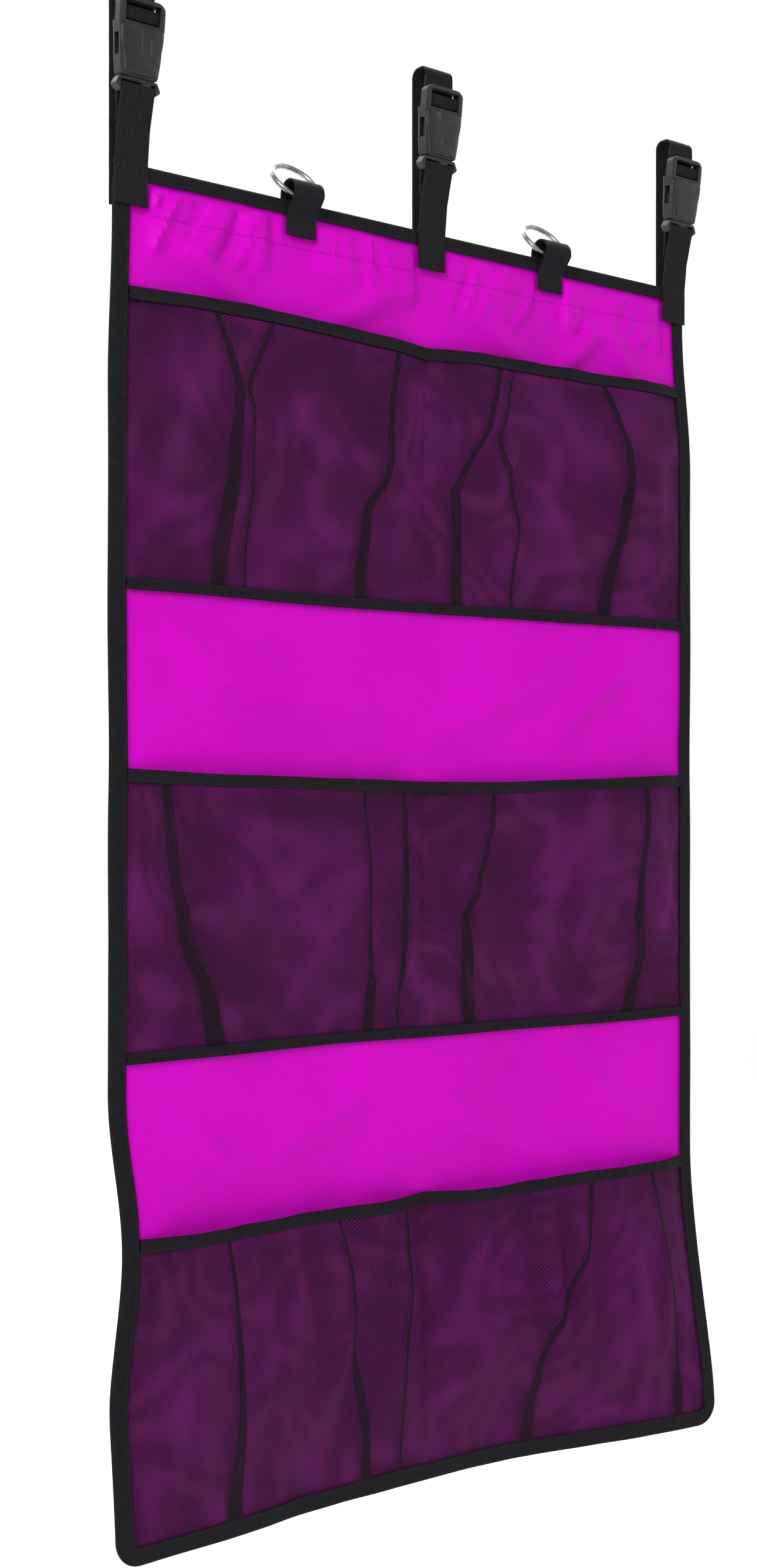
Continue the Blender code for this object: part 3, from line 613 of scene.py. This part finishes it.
# ---- net pockets ----
# Each pleat: shares of the row's height from the foot, and its middle and width at each.
PLEATS = {
    1: (((0, .20, .50, .70, 1), (-.182, -.181, -.176, -.173, -.194), (.013, .012, .010, .006, .003)),
        ((0, .66, .72, .85, 1), (-.160, -.162, -.167, -.155, -.142), (.001, .001, .004, .0035, .003)),
        ((0, .38, .46, .75, 1), (-.058, -.058, -.043, -.037, -.032), (.009, .008, .006, .004, .005)),
        ((0, .30, .46, .72, 1), (.033, .027, .022, .052, .066), (.010, .008, .006, .004, .005)),
        ((0, .36, .42, .70, .76, 1), (.085, .085, .080, .060, .068, .080),
         (.001, .001, .003, .003, .001, .001)),
        ((0, .45, .62, .74, 1), (.174, .185, .192, .187, .163), (.011, .009, .007, .005, .004))),
    2: (((0, .18, .43, .62, 1), (-.182, -.191, -.216, -.224, -.230), (.015, .013, .010, .007, .006)),
        ((0, .20, .26, .40, 1), (-.050, -.051, -.052, -.060, -.062), (.009, .008, .004, .002, .001)),
        ((0, .18, .24, .60, 1), (-.025, -.025, -.024, -.024, -.023), (.001, .001, .005, .006, .004)),
        ((0, .25, .46, .67, 1), (.046, .036, .030, .047, .060), (.011, .010, .006, .004, .003)),
        ((0, .25, .46, .71, 1), (.197, .208, .198, .203, .208), (.010, .009, .008, .006, .006))),
    3: (((0, .20, .42, .80, 1), (-.172, -.173, -.175, -.182, -.186), (.012, .009, .006, .003, .003)),
        ((0, .20, .43, .50, 1), (-.054, -.060, -.071, -.074, -.088), (.008, .007, .005, .002, .001)),
        ((0, .46, .52, .85, 1), (-.026, -.026, -.025, -.024, -.024), (.001, .001, .003, .003, .001)),
        ((0, .20, .36, .76, 1), (.092, .092, .096, .145, .154), (.011, .009, .006, .003, .003)),
        ((0, .16, .26, .80, 1), (.229, .229, .227, .219, .215), (.008, .006, .002, .002, .002))),
}
# Loose folds in the nets, in the same terms as the creases.
NET_FOLDS = {
    1: ((.070, .168, .090, -18, .004, .0040), (-.120, .150, .130, 28, .007, .0035),
        (-.105, .190, .140, -22, .009, .0030), (.115, .160, .130, -30, .008, .0035),
        (.130, .215, .110, 34, .008, .0030), (-.220, .180, .140, -12, .007, .0030),
        (.225, .180, .150, 10, .006, .0030), (-.010, .150, .100, -14, .005, .0024)),
    2: ((-.130, .470, .140, 36, .009, .0035), (-.110, .530, .130, -30, .008, .0035),
        (.120, .470, .150, -34, .009, .0040), (.110, .535, .130, 26, .008, .0035),
        (-.012, .500, .140, -4, .004, .0030), (.000, .450, .110, 20, .005, .0024),
        (.235, .480, .140, -12, .006, .0030), (.170, .500, .110, 48, .007, .0026)),
    3: ((-.024, .765, .115, -3, .005, .0045), (-.120, .770, .140, 12, .007, .0045),
        (-.085, .800, .170, -14, .008, .0045), (.050, .780, .160, 16, .007, .0045),
        (.112, .760, .120, -10, .006, .0045), (.190, .800, .170, 8, .007, .0040),
        (-.220, .800, .180, -5, .006, .0030), (.015, .860, .110, -34, .007, .0030)),
}
PUFF = {1: 0.0110, 2: 0.0120, 3: 0.0145}
CRUMPLE = {1: (17, 3.2, 0.0044), 2: (19, 3.4, 0.0046), 3: (30, 1.6, 0.0062)}
# Gain from fold height to the net's openness and its painted highlight.
FOLD_OPENNESS_AND_HIGHLIGHT = {1: 80, 2: 75, 3: 48}
MOUTH_DIP = {1: 0.0, 2: 0.0035, 3: 0.0}
MOUTH_SAG = {1: 0.0032, 2: 0.0065, 3: 0.0010}
COLUMNS = 40
LEVELS = 90


def mouth_z(row, x):
    """Top edge of a row, which sags a little between its sewn ends."""
    across = np.clip(np.abs(x) / EDGE_X, 0, 1)
    dip = MOUTH_DIP[row] + MOUTH_SAG[row] * (1 - across ** 2)
    wobble = rumple(x, 0.0, 11, 0, 41 + row) * 0.0028 * (1 - across ** 4)
    return ROW_MOUTH[row] - dip + np.minimum(wobble, 0.0016)


def net_swell(row, x, share):
    """(how freely the net stands, its folds) at a place."""
    side = np.abs(x)
    sewn = EDGE_X - EDGE_TAPE - 0.0008
    across = np.clip(np.minimum(side / 0.050, (sewn - side) / 0.055), 0, 1)
    free = np.sin(across * math.pi / 2) * ease(share, 0.04, 0.50)
    z = ROW_FOOT[row] + share * (ROW_MOUTH[row] - ROW_FOOT[row])
    per_x, per_share, height = CRUMPLE[row]
    crumple = 1 - 2 * np.abs(rumple(x, share, per_x, per_share, 50 + row))
    fine = rumple(x, share, 46, 8, 60 + row)
    folds = height * crumple + 0.0010 * fine + fold_height(NET_FOLDS[row], x, TOP_Z - z)
    return free, folds * (1 - 0.6 * ease(share, 0.86, 1.0))


def stand_off(row, x, share):
    """How far the net stands off the panel: nothing at its sewn sides, centre and foot."""
    free, folds = net_swell(row, x, share)
    return free * (PUFF[row] * (1 - 0.22 * ease(share, 0.7, 1.0)) + folds)


def smoothed(values):
    return np.convolve(np.pad(values, 3, mode="edge"), np.ones(7) / 7, mode="valid")


def folded_net(row, shares):
    """(x, lift) for each level and column of a net with its pleats folded."""
    middles = [np.interp(shares, at, middle) for at, middle, _ in PLEATS[row]]
    widths = [np.interp(shares, at, width) for at, _, width in PLEATS[row]]
    middles, widths = [smoothed(m) for m in middles], [smoothed(w) for w in widths]
    x_parts, lift_parts = [], []
    even = np.linspace(0, 1, COLUMNS)
    even = even - 0.10 * np.sin(2 * math.pi * even) / (2 * math.pi)
    last = len(middles)
    for k in range(last + 1):
        start = -NET_EDGE * np.ones(len(shares)) if k == 0 else middles[k - 1] - widths[k - 1] / 2
        end = NET_EDGE * np.ones(len(shares)) if k == last else middles[k] + widths[k] / 2
        x = start[:, None] + (end - start)[:, None] * even[None, :]
        lift = np.zeros(x.shape)
        if k < last:
            fold = (end - widths[k])[:, None]
            lift = 2 * PLY_STEP * ease((x - fold) / 0.006, -1.0, 0.0)
        x_parts.append(x)
        lift_parts.append(lift)
        if k < last:
            under = np.array([0.08, 0.5, 0.92])
            x_parts.append(end[:, None] - widths[k][:, None] * under[None, :])
            step = PLY_STEP * (1 + 0.75 * (1 - 2 * under))
            lift_parts.append(step[None, :] * np.ones((len(shares), 1)))
    return np.concatenate(x_parts, axis=1), np.concatenate(lift_parts, axis=1)


def make_net(row):
    """One row's net, sewn down its sides, middle and foot and standing off between them."""
    shares = np.linspace(0, 1, LEVELS)
    x, lift = folded_net(row, shares)
    share = shares[:, None] * np.ones(x.shape)
    top = mouth_z(row, x) - TAPE_THICK - GAP
    z = ROW_FOOT[row] + share * (top - ROW_FOOT[row])
    y = NET_Y - stand_off(row, x, share) - lift
    cut_x = lengths(np.stack([x[0], lift[0]], axis=-1)) - NET_EDGE
    tall = ROW_MOUTH[row] - ROW_FOOT[row]
    flat = np.stack([cut_x[None, :] * np.ones(x.shape), ROW_FOOT[row] + share * tall], axis=-1)
    inside = within_corner(x, z, EDGE_X - NET_EDGE)
    piece = smooth(grid_piece(f"net_row_{row}", hung(np.stack([inside, y, z], axis=-1)), flat), 75)
    folds = net_swell(row, x, share)[1]
    # Fold height sets the net's openness and its painted highlight; plies under the pleats get neither.
    tone = piece.data.attributes.new("fold_openness_and_painted_highlight", "FLOAT", "POINT")
    single = 1 - np.clip(lift / (2 * PLY_STEP), 0, 1)
    light = np.clip(0.25 + folds * FOLD_OPENNESS_AND_HIGHLIGHT[row], 0, 1) * single
    tone.data.foreach_set("value", light.ravel().astype(np.float32))
    dress(piece, "root", NET, "mesh", f"mesh_row_{row}")


def make_mouth_tape(row):
    limit = EDGE_X - EDGE_TAPE - GAP
    x = np.linspace(-limit, limit, 190)
    base = NET_Y - stand_off(row, x, np.ones(x.shape))
    tops = mouth_z(row, x)
    wander = rumple(x, 0.0, 18, 0, 70 + row) * 0.0005
    sections, stations = [], []
    for here, y, top, extra in zip(x, base, tops, wander):
        front = y - 2 * PLY_STEP - GAP - TAPE_THICK
        back = min(y + GAP + TAPE_THICK, PANEL_FRONT_Y - GAP / 2)
        sections.append(folded_section(MOUTH_TAPE + extra, front, back, TAPE_THICK * 0.8, 0.0001))
        stations.append((here, top, 0, -1))
    piece = tape_along(f"mouth_tape_{row}", np.array(stations), sections)
    return dress(piece, "root", TAPE, "binding", f"mouth_binding_{row}")


def make_foot_tape(row):
    low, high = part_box(f"foot_tape_{row}")
    x = np.linspace(low[0], high[0], 180)
    drift = rumple(x, 0.0, 9, 0, 80 + row) * 0.0008
    stations = np.array([(here, high[2] + d, 0, -1) for here, d in zip(x, drift)])
    tall = high[2] - low[2]
    front, back = low[1], high[1]
    half_way, bulge, round_edge = (front + back) / 2, 0.0002, 0.0003
    ring = [(0, back), (0, half_way), (round_edge, front), (tall * 0.3, front - bulge),
            (tall * 0.7, front - bulge), (tall - round_edge, front), (tall, half_way), (tall, back),
            (tall * 0.5, back)]
    piece = tape_along(f"foot_tape_sewn_{row}", stations, [ring] * len(stations))
    return dress(piece, "root", TAPE, "binding", f"foot_tape_{row}")


# ---- webbing ----
STRAP_SEAM = TOP_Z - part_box("loop_strap_left")[0][2]
BACK_LEG_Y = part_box("loop_strap_left")[1][1] - WEBBING_THICK / 2
SEAT_Y = TAPE_FRONT_Y - GAP - WEBBING_THICK / 2
STRAP_DEPTH = 0.0154
LOOP_FLAT = 0.004
BUCKLE_RISE = 0.0525
SOCKET_LENGTH = 0.050
SOCKET_PLATE = 0.033
SOCKET_THICK = 0.0104
BAR_THICK = 0.0040
BAR_WIDTH = 0.0044
PLUG_BASE = 0.010
STRAP_PLY = GAP + WEBBING_THICK
STRAP_V = BAR_THICK / 2 + GAP + WEBBING_THICK / 2
LEAN = math.atan2(SEAT_Y - (BACK_LEG_Y - STRAP_DEPTH - STRAP_V), BUCKLE_RISE + SOCKET_LENGTH)
KEEPER_SEAM = 0.025
RING_WIRE = 0.0040
RING_LEAN = 39              # degrees back from upright


def on_strap(forward, above):
    """(y, z) at a distance in front of a buckle's middle plane and above its socket's mouth."""
    rise = BUCKLE_RISE + above
    y = SEAT_Y - rise * math.sin(LEAN) - forward * math.cos(LEAN)
    z = TOP_Z + rise * math.cos(LEAN) - forward * math.sin(LEAN)
    return y, z


def rounded_path(corners, radius, steps=7):
    path = [Vector(corners[0])]
    for i in range(1, len(corners) - 1):
        here = Vector(corners[i])
        start = here + (Vector(corners[i - 1]) - here).normalized() * radius
        end = here + (Vector(corners[i + 1]) - here).normalized() * radius
        for t in np.linspace(0, 1, steps):
            path.append(start * (1 - t) ** 2 + here * 2 * t * (1 - t) + end * t ** 2)
    return [tuple(p) for p in path] + [corners[-1]]


def arc(centre, radius, start, end, steps):
    return [(centre[0] + radius * math.cos(a), centre[1] + radius * math.sin(a))
            for a in np.radians(np.linspace(start, end, steps))]


def strap_piece(name, path, centre_x, seed, width=WEBBING_WIDTH):
    """Webbing with rounded selvedges along a (y, z) centre line."""
    path = np.array(path)
    run = lengths(path)
    keep = np.concatenate([[True], np.diff(run) > 1e-5])
    path, run = path[keep], run[keep]
    at = np.linspace(0, run[-1], max(8, int(run[-1] / 0.0012)))
    line = np.stack([np.interp(at, run, path[:, 0]), np.interp(at, run, path[:, 1])], axis=1)
    tangent = np.gradient(line, axis=0)
    tangent /= np.linalg.norm(tangent, axis=1)[:, None]
    normal = np.stack([-tangent[:, 1], tangent[:, 0]], axis=1)
    half, thick = width / 2, WEBBING_THICK / 2
    across = np.linspace(-1, 1, 13)
    front = [(half * (s - 0.02 * s), thick * (1 - 0.12 * s * s)) for s in across]
    back = [(x, -t) for x, t in front[::-1]]
    ring = np.array(front + [(half, thick * 0.35), (half, -thick * 0.35)] + back
                    + [(-half, -thick * 0.35), (-half, thick * 0.35)])
    sway = rumple(at, 0.0, 60, 0, seed) * 0.00018
    x = centre_x + ring[None, :, 0] * (1 + 0.006 * rumple(at, 0.0, 90, 0, seed + 1))[:, None]
    out = ring[None, :, 1] + sway[:, None] * 0.5
    points = np.stack([x, line[:, 0:1] + normal[:, 0:1] * out,
                       line[:, 1:2] + normal[:, 1:2] * out], axis=-1)
    flat = np.stack([at[:, None] * np.ones(x.shape), ring[None, :, 0] * np.ones(x.shape)], axis=-1)
    piece = grid_piece(name, points, flat, wrap=True, caps=True)
    return smooth(outward(piece), 50)


MID_BAR_LOW = SOCKET_PLATE + 0.0050
LOWER_PASS = MID_BAR_LOW - GAP * 3 - WEBBING_THICK / 2
UPPER_PASS = MID_BAR_LOW + BAR_WIDTH + GAP * 2 + WEBBING_THICK / 2


def loop_path():
    tail = -STRAP_V - STRAP_PLY
    corners = [on_strap(tail, SOCKET_LENGTH + 0.008), on_strap(tail, LOWER_PASS),
               on_strap(STRAP_V, LOWER_PASS), on_strap(STRAP_V, UPPER_PASS),
               on_strap(-STRAP_V, UPPER_PASS), on_strap(-STRAP_V, SOCKET_LENGTH + 0.001)]
    path = rounded_path(corners, 0.0010)
    bend = (BACK_LEG_Y - path[-1][0] - LOOP_FLAT) / 2
    crown = WEBBING_THICK / 2
    path += arc((path[-1][0] + bend, crown - bend), bend, 180, 90, 12)
    path += arc((BACK_LEG_Y - bend, crown - bend), bend, 90, 0, 12)
    return path + [(BACK_LEG_Y, TOP_Z - STRAP_SEAM)]


def lower_path():
    over = -PLUG_BASE + BAR_WIDTH + GAP * 2 + WEBBING_THICK / 2
    end = -PLUG_BASE - 0.018
    corners = [(SEAT_Y, TOP_Z - STRAP_SEAM), (SEAT_Y, TOP_Z), on_strap(0.0, end - 0.004),
               on_strap(STRAP_V, -PLUG_BASE), on_strap(STRAP_V, over), on_strap(-STRAP_V, over),
               on_strap(-STRAP_V, -PLUG_BASE), on_strap(-STRAP_PLY, end + 0.004), on_strap(-STRAP_PLY, end)]
    return rounded_path(corners, 0.0010)


def make_webbing():
    for order, side in enumerate(SIDES):
        loop = strap_piece(f"loop_webbing_{side}", loop_path(), STRAP_X[side], 90 + order)
        dress(loop, "root", WEBBING, "webbing", f"loop_strap_{side}")
        lower = strap_piece(f"lower_webbing_{side}", lower_path(), STRAP_X[side], 95 + order)
        lower.data.materials.append(WEBBING)
        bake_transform(lower)
        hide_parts(f"lower_strap_{side}")
    for order, side in enumerate(("left", "right")):
        centre = joint_place(f"ring_swing_{side}")[1:]
        bend = BACK_LEG_Y - centre[0]
        path = [(BACK_LEG_Y, TOP_Z - KEEPER_SEAM), (BACK_LEG_Y, centre[1] - 0.002)]
        path += arc(centre, bend, 0, 196, 26)
        path += [(SEAT_Y, TOP_Z - TOP_TAPE_WIDTH), (SEAT_Y, TOP_Z - KEEPER_SEAM)]
        keeper = strap_piece(f"keeper_webbing_{side}", path, RING_X[side], 100 + order)
        dress(keeper, "root", WEBBING, "webbing", f"ring_keeper_{side}")


def joint_place(name):
    for joint in frame["record"]["behaviour"]["joints"]:
        if joint["name"] == name:
            return joint["pos_m"]


def make_rings():
    """Round wire rings: a torus about the middle of each node, leaning as the node leans."""
    lean = math.radians(RING_LEAN)
    up = np.array((0, math.sin(lean), math.cos(lean)))
    face = np.array((0, math.cos(lean), -math.sin(lean)))
    turn = np.linspace(0, 2 * math.pi, 97)[:, None, None]
    lap = np.linspace(0, 2 * math.pi, 20, endpoint=False)[None, :, None]
    out = RING_WIRE / 2
    for side in ("left", "right"):
        low, high = np.array(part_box(f"ring_{side}"))
        radius = (high[0] - low[0]) / 2 - out
        spoke = np.sin(turn) * np.array((1, 0, 0)) + np.cos(turn) * up
        points = (low + high) / 2 + spoke * (radius + out * np.cos(lap)) + face * out * np.sin(lap)
        flat = np.concatenate(np.broadcast_arrays(turn * radius, lap * out), axis=-1)
        piece = smooth(outward(grid_piece(f"wire_ring_{side}", points, flat, wrap=True)), 80)
        dress(piece, f"ring_{side}", NICKEL, "nickel", f"ring_{side}")


# ---- buckles ----
def place_on_buckle(points, centre_x):
    """(across, forward, above) points moved to a buckle's place and lean."""
    y, z = on_strap(points[..., 1], points[..., 2])
    return np.stack([centre_x + points[..., 0], y, z], axis=-1)


def make_socket_plate(side):
    """The large bowed plate on a socket's front, narrow at the mouth."""
    rows, columns = 44, 36
    share = np.linspace(0, 1, rows)
    above = 0.0012 + share * (SOCKET_PLATE - 0.0016)
    half = 0.0125 + 0.0036 * ease(share, 0.05, 0.85)
    corner = np.clip((share - 0.90) / 0.10, 0, 1)
    half = half - 0.0036 * (1 - np.sqrt(1 - corner ** 2))
    toe = np.clip((0.05 - share) / 0.05, 0, 1)
    half = half - 0.0010 * (1 - np.sqrt(1 - toe ** 2))
    turn = np.linspace(0, 2 * math.pi, columns, endpoint=False)
    across = np.sign(np.cos(turn)) * np.abs(np.cos(turn)) ** 0.55
    lift = np.sign(np.sin(turn)) * np.abs(np.sin(turn)) ** 0.75
    end = np.sqrt(1 - np.clip(np.abs(share - 0.5) * 2 - 0.86, 0, 0.14) ** 2 / 0.0200)
    thick = np.where(lift > 0, 0.0021, 0.0012)
    forward = SOCKET_THICK / 2 - 0.0003 + lift[None, :] * thick[None, :] * np.clip(end, 0.05, 1)[:, None]
    points = np.stack([half[:, None] * across[None, :], forward,
                       above[:, None] * np.ones((1, columns))], axis=-1)
    piece = grid_piece(f"socket_plate_{side}", place_on_buckle(points, STRAP_X[side]),
                       points[..., [0, 2]], wrap=True, caps=True)
    return dress(smooth(outward(piece), 35), "root", PLASTIC, "dark_plastic")


def dress_moulded_nodes():
    for name, node in frame["nodes"].items():
        finish = STIFFENER if name == "hem_batten" else PLASTIC
        if name == "hem_batten" or name.startswith("buckle"):
            for slot in node.material_slots:
                slot.material = finish


# ---- stitches ----
def stitch_tree():
    """Lay one thread lump at each pitch along a curve."""
    tree = bpy.data.node_groups.new("stitch_run", "GeometryNodeTree")
    tree.interface.new_socket("Line", in_out="INPUT", socket_type="NodeSocketGeometry")
    for name in ("Pitch", "Length", "Thickness"):
        tree.interface.new_socket(name, in_out="INPUT", socket_type="NodeSocketFloat")
    tree.interface.new_socket("Thread", in_out="INPUT", socket_type="NodeSocketMaterial")
    tree.interface.new_socket("Stitches", in_out="OUTPUT", socket_type="NodeSocketGeometry")
    begin, end, spots, lump, size, spread, real, finish = (tree.nodes.new(kind) for kind in (
        "NodeGroupInput", "NodeGroupOutput", "GeometryNodeCurveToPoints", "GeometryNodeMeshUVSphere",
        "ShaderNodeCombineXYZ", "GeometryNodeInstanceOnPoints", "GeometryNodeRealizeInstances",
        "GeometryNodeSetMaterial"))
    spots.mode = "LENGTH"
    for name, value in (("Segments", 6), ("Rings", 4), ("Radius", 0.5)):
        lump.inputs[name].default_value = value
    for source, output, target, socket in (
            (begin, "Line", spots, "Curve"), (begin, "Pitch", spots, "Length"),
            (begin, "Thickness", size, "X"), (begin, "Thickness", size, "Y"), (begin, "Length", size, "Z"),
            (spots, "Points", spread, "Points"), (spots, "Rotation", spread, "Rotation"),
            (lump, "Mesh", spread, "Instance"), (size, "Vector", spread, "Scale"),
            (spread, "Instances", real, "Geometry"), (real, "Geometry", finish, "Geometry"),
            (begin, "Thread", finish, "Material"), (finish, "Geometry", end, "Stitches")):
        tree.links.new(source.outputs[output], target.inputs[socket])
    return tree


STITCH_RUN = stitch_tree()


def sew(name, lines, thread, slot, body="root", thickness=STITCH_THICK):
    """Stitches along each line of points, as one mesh."""
    curve = bpy.data.curves.new(f"{name}_line", "CURVE")
    curve.dimensions = "3D"
    for line in lines:
        spline = curve.splines.new("POLY")
        spline.points.add(len(line) - 1)
        for point, place in zip(spline.points, line):
            point.co = (*place, 1.0)
    guide = bpy.data.objects.new(f"{name}_line", curve)
    bpy.context.scene.collection.objects.link(guide)
    modifier = guide.modifiers.new("Stitches", "NODES")
    modifier.node_group = STITCH_RUN
    values = {"Pitch": STITCH_PITCH, "Length": STITCH_LENGTH, "Thickness": thickness, "Thread": thread}
    for item in STITCH_RUN.interface.items_tree:
        if item.name in values:
            modifier[item.identifier] = values[item.name]
    shown = guide.evaluated_get(bpy.context.evaluated_depsgraph_get())
    made = bpy.data.meshes.new_from_object(shown)
    stitched = bpy.data.objects.new(name, made)
    bpy.context.scene.collection.objects.link(stitched)
    bpy.data.objects.remove(guide)
    return dress(smooth(stitched, 80), body, thread, slot)


def cloth_line(ends, y, steps):
    """Points between two flat (x, z) ends at a depth, moved with the hanging cloth."""
    (x0, z0), (x1, z1) = ends
    t = np.linspace(0, 1, steps)
    flat = np.stack([x0 + (x1 - x0) * t, np.full(steps, y), z0 + (z1 - z0) * t], axis=-1)
    return hung(flat)


def make_stitching():
    lift = STITCH_THICK * 0.15
    outline = panel_outline()
    edge = []
    inward = EDGE_TAPE - TAPE_SEAM
    for y in (TAPE_FRONT_Y - lift, TAPE_BACK_Y + lift):
        flat = np.stack([outline[:, 0] + outline[:, 2] * inward, np.full(len(outline), y),
                         outline[:, 1] + outline[:, 3] * inward], axis=-1)
        edge.append(hung(flat))
    sew("edge_stitches", edge, BLACK_THREAD, "binding")
    span = TOP_TAPE_HIGH[0]
    foot = TOP_Z - TOP_TAPE_WIDTH + TAPE_SEAM
    top_line = cloth_line(((-span, foot), (span, foot)), TOP_TAPE_LOW[1] - lift, 160)
    sew("top_stitches", [top_line], BLACK_THREAD, "binding")
    hem = TOP_Z - HEM_DROP + HEM_SEAM
    half = EDGE_X - EDGE_TAPE
    # Hem stitches in thread darkened as painted shade of the stitch line.
    sew("hem_stitches", [cloth_line(((-half, hem), (half, hem)), PANEL_FRONT_Y - lift, 240),
                         cloth_line(((-half, hem), (half, hem)), FACING_BACK_Y + lift, 240)],
        HEM_THREAD_PAINTED_SHADE, "panel_cloth")
    for row in (1, 2, 3):
        x = np.linspace(-half, half, 190)
        y = NET_Y - stand_off(row, x, np.ones(x.shape)) - 2 * PLY_STEP - GAP - TAPE_THICK - lift
        z = mouth_z(row, x) - MOUTH_TAPE + 0.0014
        lines = [hung(np.stack([x, y, z], axis=-1))]
        low = ROW_FOOT[row] + 0.012
        if row < 3:
            box_low, box_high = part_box(f"foot_tape_{row}")
            for height in (box_low[2] + 0.0014, box_high[2] - 0.0014):
                ends = ((-half, height), (half, height))
                lines.append(cloth_line(ends, box_low[1] - 0.0002 - lift, 200))
        sew(f"row_stitches_{row}", lines, BLACK_THREAD, "binding")
        high = ROW_MOUTH[row] - MOUTH_TAPE - 0.002
        seam = cloth_line(((0.0, low), (0.0, high)), NET_Y - 0.0002, 80)
        sew(f"centre_stitches_{row}", [seam], BLACK_THREAD, "mesh", thickness=0.0008)


def box_and_cross(centre_x, y, low, high):
    """The square of stitches with a cross in it that holds webbing down, as two lines of points."""
    half = WEBBING_WIDTH / 2 - 0.0022
    corners = [(-half, low), (half, low), (half, high), (-half, high), (-half, low), (half, high)]
    other = [(-half, high), (half, low)]
    dense = []
    for run in (corners, other):
        line = []
        for (x0, z0), (x1, z1) in zip(run[:-1], run[1:]):
            for t in np.linspace(0, 1, 12):
                line.append((centre_x + x0 + (x1 - x0) * t, y, z0 + (z1 - z0) * t))
        dense.append(line)
    return dense


def make_strap_stitching():
    lift = STITCH_THICK * 0.15
    lines = []
    faces = (SEAT_Y - WEBBING_THICK / 2 - lift, BACK_LEG_Y + WEBBING_THICK / 2 + lift)
    for centres, seam, below_top in ((STRAP_X, STRAP_SEAM, 0.0030), (RING_X, KEEPER_SEAM, 0.0050)):
        for centre_x in centres.values():
            for y in faces:
                lines += box_and_cross(centre_x, y, TOP_Z - seam + 0.0025, TOP_Z - below_top)
    sew("webbing_stitches", lines, BLACK_THREAD, "webbing")


# ---- studio ----
def light_the_room():
    """White room: bright behind the object, dimmer in front so that folds show."""
    world = bpy.data.worlds.new("studio_light")
    world.use_nodes = True
    wire = Wire(world.node_tree, None)
    towards = wire.node("ShaderNodeTexCoord", output="Generated")
    facing = wire.node("ShaderNodeVectorMath", {"operation": "DOT_PRODUCT"},
                       {0: towards, 1: (0.618, 0.786, 0.0)}, output="Value")
    strength = DIM_ROOM + facing.above(0.05, 0.35) * (1.0 - DIM_ROOM)
    background = world.node_tree.nodes["Background"]
    background.inputs["Color"].default_value = (1.0, 1.0, 1.0, 1.0)
    world.node_tree.links.new(strength.socket, background.inputs["Strength"])
    bpy.context.scene.world = world


def make_studio():
    ground = bpy.data.meshes.new("studio_floor")
    reach = 6.0
    level = BOTTOM_Z - 0.30
    corners = ((-1, -1), (1, -1), (1, 1), (-1, 1))
    ground.from_pydata([(x * reach, y * reach, level) for x, y in corners], [], [(0, 1, 2, 3)])
    floor = bpy.data.objects.new("studio_floor", ground)
    bpy.context.scene.collection.objects.link(floor)
    made, shader, wire = start_finish("studio_floor_white")
    place = solid_place(wire)
    speck = uneven(wire, place, 3.0)
    connect(shader, "Base Color", blend_colours(wire, speck, (0.90, 0.90, 0.90, 1), (0.93, 0.93, 0.93, 1)))
    connect(shader, "Roughness", 0.8 + speck * 0.1)
    ground.materials.append(made)
    light_the_room()
    for name, place, aim, size, power in (
            ("key", (-2.3, -1.3, 0.9), (0, 0, -0.5), 0.9, 62.0),
            ("fill", (1.9, -1.9, 0.3), (0, 0, -0.6), 2.0, 7.0),
            ("overhead", (0.6, 1.6, 0.9), (0.6, 1.6, -1.0), 3.0, 62.0),
            ("horizon", (4.3, 6.0, 1.3), (4.3, 6.0, -1.0), 4.5, 70.0)):
        lamp = bpy.data.lights.new(name, "AREA")
        lamp.size = size
        lamp.energy = power
        holder = bpy.data.objects.new(name, lamp)
        bpy.context.scene.collection.objects.link(holder)
        holder.location = place
        holder.rotation_euler = (Vector(aim) - Vector(place)).to_track_quat("-Z", "Y").to_euler()


def make_camera():
    lens = bpy.data.cameras.new("view")
    lens.lens = 45.5
    lens.sensor_width = 36.0
    lens.sensor_fit = "AUTO"
    lens.shift_y = 0.0156
    lens.clip_start = 0.01
    camera = bpy.data.objects.new("view", lens)
    bpy.context.scene.collection.objects.link(camera)
    camera.location = (-0.928, -1.1156, TOP_Z - 0.422)
    camera.rotation_euler = (math.radians(90), 0.0, math.radians(-38.2))
    bpy.context.scene.camera = camera
    bpy.context.scene.view_settings.view_transform = "Standard"


make_panel()
make_hem_facing()
make_edge_tape()
make_top_tape()
for number in (1, 2, 3):
    make_net(number)
    make_mouth_tape(number)
    if number < 3:
        make_foot_tape(number)
make_webbing()
make_rings()
for name in SIDES:
    make_socket_plate(name)
dress_moulded_nodes()
make_stitching()
make_strap_stitching()
make_studio()
make_camera()
